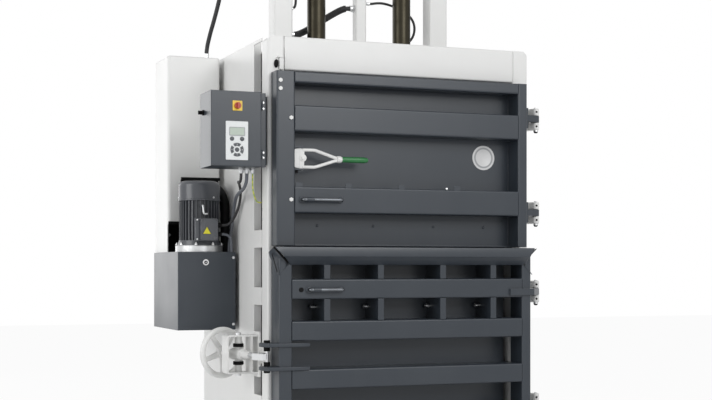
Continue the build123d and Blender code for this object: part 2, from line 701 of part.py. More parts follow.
def build_lower_leaves():
    """Cranked straps on the lower door's front with the middle knuckles."""
    leaves = []
    for z in LOWER_HINGES:
        front = LOWER_FRONT - STRAP
        strap = block(DOOR_RIGHT - STRAP_REACH, DOOR_RIGHT + STRAP, front, LOWER_FRONT, -DOOR_KNUCKLE / 2, DOOR_KNUCKLE / 2)
        corner = Pos(DOOR_RIGHT + STRAP / 2, LOWER_FRONT + 10) * Rectangle(STRAP, 44)
        eye = Pos(HINGE_X, HINGE_Y) * Circle(KNUCKLE_DIAMETER / 2)
        outline = make_hull((corner + eye).edges())
        strap += Pos(0, 0, -DOOR_KNUCKLE / 2) * extrude(outline, DOOR_KNUCKLE)
        strap -= upright(HINGE_PIN + 2 * RUNNING_GAP, HINGE_X, HINGE_Y, -50, 50)
        leaves.append(Pos(0, 0, z) * strap)
    return leaves


def build_door_bolts():
    """Bolt heads on the left stile of the upper door."""
    bolts = []
    for x, z in ((-650.0, 1980.0), (-650.0, 1942.0), (-598.0, 1808.0), (-598.0, 1428.0)):
        head = Plane(origin=(x, UPPER_FRONT, z), z_dir=(0, -1, 0)) * RegularPolygon(10, 6)
        bolts.append(extrude(head, 7))
    return Compound(children=bolts)


def build_lower_frame():
    """Stiles, deep rails, window dividers and hinge leaves of the welded door frame."""
    inner_left = DOOR_LEFT + LOWER_LEFT_STILE
    inner_right = DOOR_RIGHT - RIGHT_STILE
    left = stile(DOOR_LEFT, inner_left, LOWER_FRONT, DOOR_BACK, LOWER_BOTTOM, LOWER_TOP)
    parts = [left, stile(inner_right, DOOR_RIGHT, LOWER_FRONT, DOOR_BACK, LOWER_BOTTOM, LOWER_TOP)]
    clear = -OPENING + MOVING_GAP
    for low, high in LOWER_RAILS:
        rail = channel(inner_left, inner_right, LOWER_FRONT, LOWER_RECESS, low, high)
        parts.append(rail - block(-HALF_WIDTH, clear, DOOR_BACK, 0, low - 1, high + 1))
    for x in DIVIDER_OFFSETS:
        pin = bar(CLAW_PIN, (x - DIVIDER_WIDTH, CLAW_Y, CLAW_PIVOT_Z), (x + DIVIDER_WIDTH, CLAW_Y, CLAW_PIVOT_Z))
        for low, high in WINDOW_ROWS:
            post = block(x - DIVIDER_WIDTH / 2, x + DIVIDER_WIDTH / 2, LOWER_FRONT, LOWER_SKIN, low, high)
            post -= block(x - DIVIDER_WIDTH / 2 + RAIL_WALL, x + DIVIDER_WIDTH / 2 - RAIL_WALL,
                          LOWER_FRONT + RAIL_WALL, LOWER_SKIN + 1, low - 1, high + 1)
            parts.append(post - pin)
    return Compound(children=parts + build_lower_leaves())


def build_lower_skin():
    """Deep tray behind the rails of the lower door, slotted for the claws."""
    half = HALF_CHAMBER - CORE_SIDE_GAP
    low = LOWER_BOTTOM + SHEET
    high = LOWER_TOP - 2 * SHEET
    back = -CHAMBER_DEPTH / 2 - LINER
    tray = block(-half, half, LOWER_SKIN, back, low, high)
    tray -= block(-half + SHEET, half - SHEET, LOWER_SKIN + SHEET, back + 1, low + SHEET, high - SHEET)
    slot = CLAW_THICKNESS / 2 + CLAW_SLOT_GAP
    for x in DIVIDER_OFFSETS:
        tray -= block(x - slot, x + slot, LOWER_SKIN - 1, LOWER_SKIN + SHEET + 1,
                      CLAW_PIVOT_Z - 50, CLAW_PIVOT_Z + 26)
    return tray


def build_lower_liner():
    """Chamber side plate of the lower door, slotted for the claws."""
    half = HALF_CHAMBER - CORE_SIDE_GAP
    low = LOWER_BOTTOM + SHEET
    high = LOWER_TOP - 2 * SHEET
    back = -CHAMBER_DEPTH / 2 - LINER
    liner = block(-half, half, back, back + LINER - 2, low, high)
    slot = CLAW_THICKNESS / 2 + CLAW_SLOT_GAP
    for x in DIVIDER_OFFSETS:
        liner -= block(x - slot, x + slot, back - 1, back + LINER, CLAW_PIVOT_Z - 160, CLAW_PIVOT_Z + 26)
    return liner


def build_feed_lip():
    """Flared lip round the top of the lower door, open at the back."""
    def frustum(inset, lift):
        low = Pos((DOOR_LEFT + DOOR_RIGHT) / 2, (LOWER_FRONT + DOOR_BACK) / 2 + inset)
        width = DOOR_RIGHT - DOOR_LEFT - 2 * inset
        depth = DOOR_BACK - LOWER_FRONT
        bottom = Pos(0, 0, LOWER_TOP - lift) * low * Rectangle(width, depth)
        high = Pos((DOOR_LEFT + DOOR_RIGHT) / 2, (LOWER_FRONT + DOOR_BACK - LIP_FLARE) / 2 + inset)
        top_width = width + 2 * LIP_FLARE * 0.7
        top = Pos(0, 0, LOWER_TOP + LIP_RISE) * high * Rectangle(top_width, depth + LIP_FLARE)
        return loft(Sketch(children=[bottom, top]).faces())
    lip = frustum(0, 0) - frustum(LIP_SHEET, 0)
    for side, edge in ((-1, DOOR_LEFT), (1, DOOR_RIGHT)):
        seam = LOWER_TOP + LIP_SHEET
        outline = ((DOOR_BACK, seam), (LOWER_FRONT, seam), (LOWER_FRONT + 20, LOWER_TOP - WING_DROP))
        low, high = min(edge, edge + side * LIP_SHEET), max(edge, edge + side * LIP_SHEET)
        lip += side_profile(outline, low, high)
    return lip


def build_door_lugs():
    """Two tapered plates on the left stile that hold the lock pin."""
    pin = LOCK_FRAME * Pos(LOCK_PIN_REACH, 0, 0)
    pin_x, pin_y = pin.position.X, pin.position.Y
    lugs = []
    front = LOWER_FRONT - 10
    for sign in (-1, 1):
        z = LOCK_Z + sign * LUG_SPACING / 2
        outline = ((LUG_END_X, pin_y - 30), (LUG_END_X + 30, front), (DOOR_LEFT + 60, front),
                   (LUG_INNER_X, LOWER_FRONT), (DOOR_LEFT, LOWER_FRONT), (DOOR_LEFT, DOOR_BACK - 14),
                   (LUG_END_X + 10, pin_y + 28), (LUG_END_X, pin_y + 14))
        lug = plate_profile(outline, z - LUG_THICKNESS / 2, z + LUG_THICKNESS / 2)
        lug -= upright(LOCK_PIN, pin_x, pin_y, z - 20, z + 20)
        lugs.append(lug)
    return Compound(children=lugs)


def build_lower_pins():
    """The lock pin between the lugs and the pivot pins of the claws."""
    pin = LOCK_FRAME * Pos(LOCK_PIN_REACH, 0, 0)
    reach = LUG_SPACING / 2 + 22
    lock_pin = upright(LOCK_PIN, pin.position.X, pin.position.Y, LOCK_Z - reach, LOCK_Z + reach)
    lock_pin += upright(LOCK_PIN + 8, pin.position.X, pin.position.Y,
                        LOCK_Z + LUG_SPACING / 2 + LUG_THICKNESS / 2, LOCK_Z + reach)
    parts = [lock_pin]
    for x in DIVIDER_OFFSETS:
        claw_pin = bar(CLAW_PIN, (x - DIVIDER_WIDTH / 2 - 22, CLAW_Y, CLAW_PIVOT_Z),
                       (x + DIVIDER_WIDTH / 2 + 6, CLAW_Y, CLAW_PIVOT_Z))
        claw_pin += bar(CLAW_PIN + 10, (x - DIVIDER_WIDTH / 2 - 10, CLAW_Y, CLAW_PIVOT_Z),
                        (x - DIVIDER_WIDTH / 2, CLAW_Y, CLAW_PIVOT_Z))
        parts.append(claw_pin)
    return Compound(children=parts)


def build_claw(x):
    """A retaining claw that reaches through the door into the chamber."""
    tip = CLAW_Y + CLAW_REACH
    half = CLAW_HEIGHT / 2
    outline = ((CLAW_Y, CLAW_PIVOT_Z - half), (tip - 20, CLAW_PIVOT_Z - half), (tip, CLAW_PIVOT_Z - half + 5),
               (tip - 46, CLAW_PIVOT_Z + half - 2), (CLAW_Y, CLAW_PIVOT_Z + half - 4))
    claw = side_profile(outline, x - CLAW_THICKNESS / 2, x + CLAW_THICKNESS / 2)
    claw += bar(CLAW_HEIGHT, (x - CLAW_THICKNESS / 2, CLAW_Y, CLAW_PIVOT_Z), (x + CLAW_THICKNESS / 2, CLAW_Y, CLAW_PIVOT_Z))
    claw -= bar(CLAW_PIN + 2 * RUNNING_GAP, (x - CLAW_THICKNESS, CLAW_Y, CLAW_PIVOT_Z),
                (x + CLAW_THICKNESS, CLAW_Y, CLAW_PIVOT_Z))
    return claw


def build_ram():
    """Pressing plate with claw notches under a welded box."""
    half_x = HALF_CHAMBER - RAM_SIDE_GAP
    half_y = CHAMBER_DEPTH / 2 - RAM_END_GAP
    plate = block(-half_x, half_x, -half_y, half_y, RAM_LOW, RAM_LOW + RAM_PLATE)
    notch = CLAW_THICKNESS / 2 + MOVING_GAP * 2
    for x in DIVIDER_OFFSETS:
        for side in (-1, 1):
            edge = side * half_y
            inner = edge - side * 60
            plate -= block(x - notch, x + notch, min(edge, inner), max(edge, inner), RAM_LOW - 1, RAM_TOP)
    box_y = half_y - 75
    base = RAM_LOW + RAM_PLATE
    box = block(-half_x + 20, half_x - 20, -box_y, box_y, base, RAM_TOP)
    cell_count = 4
    cell = (2 * (half_x - 20) - RAM_WALL) / cell_count
    for index in range(cell_count):
        low = -half_x + 20 + RAM_WALL + index * cell
        for side in (-1, 1):
            y_in, y_out = side * RAM_WALL / 2, side * (box_y - RAM_WALL)
            box -= block(low, low + cell - RAM_WALL, min(y_in, y_out), max(y_in, y_out), base, RAM_TOP + 1)
    for side in (-1, 1):
        box += upright(BARREL_DIAMETER + 60, side * CYLINDER_OFFSET, 0, base, RAM_TOP)
    return plate + box


def build_barrels():
    """Cylinder barrels that stand on the ram, each closed by its rod gland."""
    barrels = []
    for side in (-1, 1):
        outer = BARREL_DIAMETER / 2
        rod = ROD_DIAMETER / 2 + RUNNING_GAP
        profile = Polyline(
            (0, RAM_TOP), (outer, RAM_TOP), (outer, BARREL_TOP - GLAND_HEIGHT),
            (outer + 6, BARREL_TOP - GLAND_HEIGHT), (outer + 6, BARREL_TOP - 8), (outer, BARREL_TOP),
            (rod, BARREL_TOP), (rod, BARREL_TOP - GLAND_HEIGHT), (BARREL_BORE / 2, BARREL_TOP - GLAND_HEIGHT),
            (BARREL_BORE / 2, RAM_TOP + BARREL_FLOOR), (0, RAM_TOP + BARREL_FLOOR), close=True)
        face = Plane.XZ * make_face(profile)
        barrels.append(Pos(side * CYLINDER_OFFSET, 0, 0) * revolve(face, Axis.Z))
    return Compound(children=barrels)


def build_lock_bracket():
    """Ring of plates on the side wall that carries the lock's trunnion pins."""
    half = BRACKET_HEIGHT / 2
    front = LOCK_Y - BRACKET_DEPTH / 2
    back = LOCK_Y + BRACKET_DEPTH / 2
    wall = -HALF_WIDTH
    ring = block(BRACKET_OUTER_X, wall, front, back, LOCK_Z - half, LOCK_Z + half)
    ring -= block(BRACKET_OUTER_X + BRACKET_PLATE, BRACKET_INNER_X - BRACKET_PLATE, front - 1, back + 1,
                  LOCK_Z - half + BRACKET_PLATE, LOCK_Z + half - BRACKET_PLATE)
    ring -= block(BRACKET_INNER_X, wall - BRACKET_PLATE, front - 1, back + 1,
                  LOCK_Z - half + BRACKET_PLATE, LOCK_Z + half - BRACKET_PLATE)
    corners = ring.edges().filter_by(Axis.Y).group_by(Axis.X)[0]
    ring = fillet(corners, BRACKET_PLATE * 1.5)
    ring += block(wall - BRACKET_PLATE, wall, front - 22, back + 22, LOCK_Z - half - 16, LOCK_Z + half + 16)
    ring -= upright(TRUNNION_PIN, LOCK_X, LOCK_Y, LOCK_Z - 2 * half, LOCK_Z + 2 * half)
    return ring


def build_lock_nut():
    """Trunnion body that the spindle runs through."""
    body = bar(NUT_DIAMETER, (-NUT_LENGTH / 2, 0, 0), (NUT_LENGTH / 2, 0, 0))
    body += bar(SLEEVE_DIAMETER, (0, 0, 0), (NUT_LENGTH / 2 + SLEEVE_LENGTH, 0, 0))
    reach = BRACKET_HEIGHT / 2 - BRACKET_PLATE - SEAT_GAP
    body += upright(TRUNNION_PIN + 18, 0, 0, -reach, reach)
    wheel_face = WHEEL_REACH - WHEEL_RIM / 2
    body += bar(SLEEVE_DIAMETER, (-wheel_face + SEAT_GAP, 0, 0), (0, 0, 0))
    body -= bar(SPINDLE_DIAMETER + 2 * RUNNING_GAP, (-WHEEL_REACH, 0, 0), (LOCK_PIN_REACH, 0, 0))
    for sign in (-1, 1):
        inner = sign * (NUT_DIAMETER / 2 - 14)
        body -= upright(TRUNNION_PIN + 2 * RUNNING_GAP, 0, 0, min(inner, sign * 100), max(inner, sign * 100))
    return LOCK_FRAME * body


def build_lock_spindle():
    """Screw with a hook that reaches round the door pin."""
    screw = bar(SPINDLE_DIAMETER, (-WHEEL_REACH - WHEEL_RIM, 0, 0), (LOCK_PIN_REACH - 60, 0, 0))
    pin = LOCK_PIN / 2
    throat = LOCK_PIN_REACH - pin - 10
    jaw = LOCK_PIN_REACH + pin + 8
    outline = ((LOCK_PIN_REACH - 92, -14), (throat - 30, -52), (jaw + HOOK_ARM - 8, -52), (jaw + HOOK_ARM, -44),
               (jaw + HOOK_ARM, -25), (jaw, -25), (jaw, -36), (throat, -36), (throat, 12), (throat - 14, 16),
               (LOCK_PIN_REACH - 92, 16))
    hook = plate_profile(outline, -HOOK_HEIGHT / 2, HOOK_HEIGHT / 2)
    return LOCK_FRAME * (screw + hook)


def build_handwheel():
    """Cast wheel with a round rim, a hub and spokes."""
    radius = (WHEEL_DIAMETER - WHEEL_RIM) / 2
    section = Plane.XZ * (Pos(radius, 0) * Circle(WHEEL_RIM / 2))
    wheel = revolve(section, Axis.Z)
    hub_height = WHEEL_RIM
    wheel += Cylinder(WHEEL_HUB / 2, hub_height)
    for index in range(WHEEL_SPOKES):
        inner = Pos(WHEEL_HUB / 2 - 4, 0, 0) * Rot(0, 90, 0) * RectangleRounded(16, 30, 6)
        outer = Pos(radius, 0, 0) * Rot(0, 90, 0) * RectangleRounded(13, 20, 5)
        wheel += Rot(0, 0, index * 360 / WHEEL_SPOKES) * loft(Sketch(children=[inner, outer]).faces())
    wheel -= Cylinder(SPINDLE_DIAMETER / 2 + RUNNING_GAP, 2 * hub_height)
    return LOCK_FRAME * Pos(-WHEEL_REACH, 0, 0) * Rot(0, 90, 0) * wheel


def hinge_post(x, y_front, y_box, z):
    """Fixed half of a small lid hinge: a lug beside the lid with a pin that stands up."""
    axis_x = x + LID_KNUCKLE / 2 + SEAT_GAP
    axis_y = y_front + LID_KNUCKLE / 2
    post = block(x + SEAT_GAP, x + SEAT_GAP + LID_KNUCKLE, axis_y, y_box + LID_KNUCKLE, z, z + LID_KNUCKLE_HEIGHT)
    post += block(x - 1, x + SEAT_GAP + LID_KNUCKLE, y_box, y_box + LID_KNUCKLE, z, z + LID_KNUCKLE_HEIGHT)
    post += upright(LID_KNUCKLE, axis_x, axis_y, z, z + LID_KNUCKLE_HEIGHT)
    return post + upright(LID_PIN, axis_x, axis_y, z, z + 2 * LID_KNUCKLE_HEIGHT)


def hinge_socket(x, y_front, z):
    """Moving half of a small lid hinge: a knuckle on the lid's edge over the lug."""
    axis_x = x + LID_KNUCKLE / 2 + SEAT_GAP
    axis_y = y_front + LID_KNUCKLE / 2
    low = z + LID_KNUCKLE_HEIGHT + SEAT_GAP
    high = low + LID_KNUCKLE_HEIGHT
    knuckle = upright(LID_KNUCKLE, axis_x, axis_y, low, high)
    knuckle += block(x - 2, axis_x, y_front + 3, y_front + LID_KNUCKLE, low, high)
    return knuckle - upright(LID_PIN + 2 * RUNNING_GAP, axis_x, axis_y, low - 1, high + 1)


def build_control_box():
    """Open box with two arms to the front post, and the hinge pin of its door."""
    front = BOX_FRONT + BOX_DOOR + SEAT_GAP
    shell = block(BOX_LEFT, BOX_RIGHT, front, BOX_BACK, BOX_BOTTOM, BOX_TOP)
    shell -= block(BOX_LEFT + BOX_SHEET, BOX_RIGHT - BOX_SHEET, front - 1, BOX_BACK - BOX_SHEET,
                   BOX_BOTTOM + BOX_SHEET, BOX_TOP - BOX_SHEET)
    for low in (BOX_BOTTOM + 22, BOX_TOP - 64):
        shell += block(BOX_RIGHT, -HALF_WIDTH, FRONT + 20, FRONT + 60, low, low + 5)
        shell += block(BOX_RIGHT, BOX_RIGHT + 5, FRONT + 20, FRONT + 60, low, low + 42)
    shell += block(-HALF_WIDTH - SHEET, -HALF_WIDTH, FRONT + 14, FRONT + 66, BOX_BOTTOM + 14, BOX_TOP - 14)
    lock_y = BOX_BACK - SIDE_LOCK_DEPTH
    lock_z = BOX_TOP - SIDE_LOCK_DROP
    shell -= bar(LOCK_BORE + 2 * RUNNING_GAP, (BOX_LEFT - 1, lock_y, lock_z), (BOX_LEFT + 10, lock_y, lock_z))
    for z in (BOX_BOTTOM + 40, BOX_TOP - 80):
        shell += hinge_post(BOX_RIGHT, BOX_FRONT, front, z)
    return shell


def build_control_door():
    """Shallow lid of the control box with its seats for switch and keypad."""
    back = BOX_FRONT + BOX_DOOR
    lid = block(BOX_LEFT, BOX_RIGHT, BOX_FRONT, back, BOX_BOTTOM, BOX_TOP)
    edges = lid.edges().group_by(Axis.Y)[0]
    lid = fillet(edges, 3)
    lid -= block(BOX_LEFT + BOX_SHEET, BOX_RIGHT - BOX_SHEET, BOX_FRONT + BOX_SHEET, back + 1,
                 BOX_BOTTOM + BOX_SHEET, BOX_TOP - BOX_SHEET)
    centre = (SWITCH_X, BOX_FRONT, SWITCH_Z)
    bore = Plane(origin=centre, z_dir=(0, 1, 0)) * Circle(SWITCH_SHAFT / 2 + RUNNING_GAP)
    lid -= extrude(bore, 30, both=True)
    for z in (BOX_BOTTOM + 40, BOX_TOP - 80):
        lid += hinge_socket(BOX_RIGHT, BOX_FRONT, z)
    return lid


def front_plane(x, z, y):
    """A plane on a front face, with its normal towards the viewer."""
    return Plane(origin=(x, y, z), x_dir=(1, 0, 0), z_dir=(0, -1, 0))


def build_switch_plate():
    """Square plate round the main switch."""
    face = RectangleRounded(SWITCH_PLATE, SWITCH_PLATE, 3) - Circle(SWITCH_SHAFT / 2 + RUNNING_GAP)
    return extrude(front_plane(SWITCH_X, SWITCH_Z, BOX_FRONT) * face, 3)


def build_switch_knob():
    """Turning knob with a raised grip bar and a shaft through the lid."""
    plane = front_plane(SWITCH_X, SWITCH_Z, BOX_FRONT - 3 - SEAT_GAP)
    knob = extrude(plane * Circle(SWITCH_KNOB / 2), 10)
    knob += extrude(plane * RectangleRounded(10, SWITCH_KNOB - 2, 3), 20)
    knob += extrude(plane * Circle(SWITCH_SHAFT / 2), -16)
    return knob


def build_keypad_panel():
    """Slim keypad housing with round corners."""
    panel = extrude(front_plane(PANEL_X, PANEL_Z, BOX_FRONT) * RectangleRounded(PANEL_WIDTH, PANEL_HEIGHT, 12), PANEL_DEPTH)
    face = panel.faces().sort_by(Axis.Y)[0]
    return chamfer(face.edges(), 1.5)


def build_keypad_display():
    """Window of the keypad."""
    return extrude(front_plane(PANEL_X, DISPLAY_Z, BOX_FRONT - PANEL_DEPTH) * RectangleRounded(68, 34, 3), 1.5)


def build_keypad_keys():
    """Seven domes of the membrane keypad."""
    keys = []
    for dx, dz in KEY_PLACES:
        plane = front_plane(PANEL_X + dx, PANEL_Z + 16 + dz, BOX_FRONT - PANEL_DEPTH)
        keys.append(extrude(plane * Circle(KEY_RADIUS), 2))
    return Compound(children=keys)


def build_side_lock():
    """Key lock in the left side of the control box, with its key."""
    y = BOX_BACK - SIDE_LOCK_DEPTH
    z = BOX_TOP - SIDE_LOCK_DROP
    lock = bar(LOCK_BORE, (BOX_LEFT + 16, y, z), (BOX_LEFT - 5, y, z))
    lock += bar(LOCK_BORE + 8, (BOX_LEFT - SEAT_GAP, y, z), (BOX_LEFT - 5, y, z))
    lock += block(BOX_LEFT - 26, BOX_LEFT - 5, y - 1.5, y + 1.5, z - 9, z + 9)
    return lock


def build_cabinet():
    """Sheet cabinet of the power unit, open at the front, on two wall rails."""
    front = CABINET_FRONT + CABINET_COVER
    shell = block(CABINET_LEFT, CABINET_RIGHT, front, CABINET_BACK, CABINET_BOTTOM, CABINET_TOP)
    shell -= block(CABINET_LEFT + CABINET_SHEET, CABINET_RIGHT - CABINET_SHEET, front - 1,
                   CABINET_BACK - CABINET_SHEET, CABINET_BOTTOM + CABINET_SHEET, CABINET_TOP - CABINET_SHEET)
    for z in (CABINET_BOTTOM + 60, CABINET_TOP - 60):
        shell += block(CABINET_RIGHT, -HALF_WIDTH, front + 60, CABINET_BACK - 60, z - 20, z + 20)
    shell -= upright(SHAFT_DIAMETER + 10, MOTOR_X, MOTOR_Y, CABINET_TOP - 20, CABINET_TOP + 1)
    return shell


def build_cabinet_cover():
    """Front cover of the power unit, held by a quarter turn lock and two bolts."""
    back = CABINET_FRONT + CABINET_COVER
    cover = block(CABINET_LEFT, CABINET_RIGHT, CABINET_FRONT, back, CABINET_BOTTOM, CABINET_TOP)
    cover = fillet(cover.edges().group_by(Axis.Y)[0], 3)
    cover -= block(CABINET_LEFT + CABINET_SHEET, CABINET_RIGHT - CABINET_SHEET, CABINET_FRONT + CABINET_SHEET,
                  back + 1, CABINET_BOTTOM + CABINET_SHEET, CABINET_TOP - CABINET_SHEET)
    bore = front_plane(CABINET_LOCK_X, CABINET_LOCK_Z, CABINET_FRONT) * Circle(LOCK_BORE / 2 + RUNNING_GAP)
    cover -= extrude(bore, 30, both=True)
    for z in (CABINET_BOTTOM + 28, CABINET_TOP - 28):
        bolt = front_plane(CABINET_RIGHT - 14, z, CABINET_FRONT) * RegularPolygon(6, 6)
        cover += extrude(bolt, 4)
    return cover


def build_cabinet_lock():
    """Quarter turn lock in the cabinet cover."""
    plane = front_plane(CABINET_LOCK_X, CABINET_LOCK_Z, CABINET_FRONT - SEAT_GAP)
    lock = extrude(plane * Circle(LOCK_BORE / 2 + 6), 4)
    lock += extrude(plane * Circle(LOCK_BORE / 2), -14)
    lock -= extrude(plane * Rectangle(3, 12), 5)
    return lock


def build_hood():
    """Tall sheet hood behind the motor, with a stepped opening low in its front."""
    width = HOOD_RIGHT - HOOD_LEFT
    depth = HOOD_BACK - HOOD_FRONT
    centre = Pos((HOOD_LEFT + HOOD_RIGHT) / 2, (HOOD_FRONT + HOOD_BACK) / 2, CABINET_TOP)
    outer = centre * extrude(RectangleRounded(width, depth, HOOD_CORNER), HOOD_TOP - CABINET_TOP)
    outer = fillet(outer.edges().group_by(Axis.Z)[-1], HOOD_CORNER * 0.6)
    inner_face = RectangleRounded(width - 2 * CABINET_SHEET, depth - 2 * CABINET_SHEET, HOOD_CORNER - CABINET_SHEET)
    hood = outer - centre * extrude(inner_face, HOOD_TOP - CABINET_TOP - CABINET_SHEET)
    hood -= block(HOOD_CUT_LEFT, HOOD_RIGHT + 1, HOOD_FRONT - 1, HOOD_FRONT + HOOD_CORNER + 1,
                  CABINET_TOP - 1, HOOD_CUT_TOP)
    hood -= block(HOOD_LEFT - 1, HOOD_CUT_LEFT, HOOD_FRONT - 1, HOOD_FRONT + HOOD_CORNER + 1,
                  CABINET_TOP - 1, HOOD_CUT_STEP)
    for z in (HOOD_CUT_TOP + 120, HOOD_TOP - 120):
        hood += block(HOOD_RIGHT, -HALF_WIDTH, HOOD_BACK - 90, HOOD_BACK - 50, z - 30, z + 30)
    return hood


def build_motor_body():
    """Finned motor housing on its flange."""
    fins = Circle(MOTOR_RADIUS)
    for index in range(FIN_COUNT):
        fins += Rot(0, 0, index * 360 / FIN_COUNT) * Pos(MOTOR_RADIUS + FIN_HEIGHT / 2 - 3, 0) * Rectangle(
            FIN_HEIGHT + 3, FIN_THICKNESS)
    body = Pos(0, 0, MOTOR_BODY_BOTTOM) * extrude(fins, MOTOR_BODY_TOP - MOTOR_BODY_BOTTOM)
    body += Pos(0, 0, CABINET_TOP) * extrude(Circle(FLANGE_DIAMETER / 2), FLANGE_HEIGHT)
    half = TERMINAL_WIDTH / 2 - 8
    body += block(-half, half, -SADDLE_REACH, -MOTOR_RADIUS + 20, TERMINAL_Z - half, TERMINAL_Z + half)
    body += bar(24, (HOOK_OFFSET, -MOTOR_RADIUS + 20, HOOK_Z), (HOOK_OFFSET, -SADDLE_REACH, HOOK_Z))
    body -= Pos(0, 0, CABINET_TOP - 1) * extrude(Circle(SHAFT_DIAMETER / 2 + RUNNING_GAP), 400)
    return Pos(MOTOR_X, MOTOR_Y, 0) * body


def build_motor_cowl():
    """Fan cowl with round shoulders and radial air slots."""
    cowl = extrude(Circle(COWL_DIAMETER / 2), COWL_HEIGHT)
    cowl = fillet(cowl.edges().group_by(Axis.Z)[-1], 24)
    inner = extrude(Circle(COWL_DIAMETER / 2 - COWL_SHEET), COWL_HEIGHT - COWL_SHEET)
    inner = fillet(inner.edges().group_by(Axis.Z)[-1], 24 - COWL_SHEET)
    cowl -= inner
    slot_count = 16
    for index in range(slot_count):
        slot = Pos(52, 0, COWL_HEIGHT - 2 * COWL_SHEET) * extrude(SlotOverall(46, 7), 4 * COWL_SHEET)
        cowl -= Rot(0, 0, index * 360 / slot_count) * slot
    cowl += extrude(Circle(COWL_DIAMETER / 2 - COWL_SHEET / 2) - Circle(MOTOR_RADIUS - 6), COWL_SHEET)
    return Pos(MOTOR_X, MOTOR_Y, MOTOR_BODY_TOP) * cowl


def build_motor_rotor():
    """Motor shaft with the cooling fan at its top."""
    shaft = upright(SHAFT_DIAMETER, 0, 0, CABINET_TOP - 90, MOTOR_BODY_TOP + 60)
    shaft += upright(60, 0, 0, MOTOR_BODY_TOP + 8, MOTOR_BODY_TOP + 62)
    for index in range(FAN_BLADES):
        blade = block(20, FAN_DIAMETER / 2, -1.5, 1.5, MOTOR_BODY_TOP + 12, MOTOR_BODY_TOP + 58)
        shaft += Rot(0, 0, index * 360 / FAN_BLADES) * blade
    return Pos(MOTOR_X, MOTOR_Y, 0) * shaft


def build_terminal_box():
    """Connection box on the motor's saddle, with a raised lid."""
    plane = front_plane(MOTOR_X, TERMINAL_Z, MOTOR_Y - SADDLE_REACH)
    box = extrude(plane * RectangleRounded(TERMINAL_WIDTH, TERMINAL_HEIGHT, 8), TERMINAL_DEPTH)
    lid = extrude(plane.offset(TERMINAL_DEPTH) * RectangleRounded(TERMINAL_WIDTH + 6, TERMINAL_HEIGHT + 6, 9), 12)
    return box + fillet(lid.faces().sort_by(Axis.Y)[0].edges(), 3)


def build_fittings():
    """Cable glands of the motor and the control box, and the lifting hook."""
    parts = []
    x = MOTOR_X + TERMINAL_WIDTH / 2
    y = MOTOR_Y - SADDLE_REACH - TERMINAL_DEPTH / 2
    for dz in (-TERMINAL_GLAND_PITCH / 2, TERMINAL_GLAND_PITCH / 2):
        parts.append(bar(GLAND_NUT, (x, y, TERMINAL_Z + dz), (x + GLAND_LENGTH, y, TERMINAL_Z + dz)))
    for x in CONTROL_GLANDS:
        gland = upright(GLAND_NUT - 4, x, CONTROL_GLAND_Y, BOX_BOTTOM - GLAND_LENGTH, BOX_BOTTOM)
        gland += upright(GLAND_NUT, x, CONTROL_GLAND_Y, BOX_BOTTOM - GLAND_LENGTH / 2, BOX_BOTTOM)
        parts.append(gland)
    x = MOTOR_X + HOOK_OFFSET
    face = MOTOR_Y - SADDLE_REACH
    out = face - 18
    path = FilletPolyline((x, face, HOOK_Z), (x, out, HOOK_Z), (x, out, HOOK_Z - 40), (x - 26, out, HOOK_Z - 40),
                          (x - 26, out, HOOK_Z - 18), radius=(9, 12, 12))
    start = Plane(origin=path @ 0, z_dir=path % 0)
    parts.append(sweep(start * Circle(HOOK_ROD / 2), path=path))
    return Compound(children=parts)


HOSE_ROUTES = {
    "hose_crossover": (PRESSURE_HOSE, (
        (-385, 20, 2316), (-352, 20, 2316), (-338, 50, 2320), (-302, 92, 2334), (-242, 114, 2366),
        (-178, 100, 2410), (-124, 58, 2446), (-84, 20, 2468), (-58, 8, 2470), (-29, 8, 2470))),
    "hose_feed": (THIN_HOSE, (
        (-385, 20, 2450), (-358, 20, 2450), (-344, 26, 2472), (-340, 36, 2520), (-344, 42, 2600),
        (-339, 44, 2700), (-345, 41, 2810), (-340, 38, 2920), (-344, 36, 3020), (-344, 36, 3100))),
    "hose_loop": (THIN_HOSE, (
        (29, 0, 2500), (62, 0, 2500), (112, 40, 2516), (172, 86, 2528), (238, 106, 2520), (296, 92, 2494),
        (334, 66, 2450), (344, 54, 2396), (332, 64, 2342), (290, 92, 2302), (242, 110, 2266),
        (210, 116, 2218), (210, 116, 2155))),
    "hose_supply": (SUPPLY_HOSE, (
        (-742, 320, 2195), (-742, 320, 2252), (-732, 290, 2330), (-716, 246, 2416), (-700, 196, 2524),
        (-690, 150, 2650), (-684, 110, 2782), (-668, 76, 2906), (-640, 44, 3024), (-606, 18, 3112),
        (-572, 18, 3146), (-525, 18, 3146))),
    "control_conduit": (CONDUIT, (
        (-772, -520, 1552), (-772, -520, 1520), (-774, -496, 1494), (-768, -440, 1480), (-756, -360, 1476),
        (-742, -270, 1470), (-728, -186, 1452), (-718, -122, 1412), (-714, -84, 1352), (-718, -66, 1290),
        (-726, -62, 1240), (-726, -62, 1190))),
    "motor_cable": (CABLE, (
        (-774, -91, 1322), (-748, -91, 1322), (-727, -102, 1338), (-712, -132, 1374), (-705, -174, 1424),
        (-710, -216, 1484), (-736, -276, 1516), (-762, -346, 1522), (-784, -420, 1520), (-799, -484, 1508),
        (-800, -520, 1522), (-800, -520, 1552))),
    "earth_wire": (EARTH_WIRE, (
        (-744, -520, 1552), (-744, -520, 1528), (-742, -512, 1502), (-736, -500, 1476), (-727, -488, 1452),
        (-716, -478, 1432), (-703, -472, 1420), (-686, -472, 1420))),
}


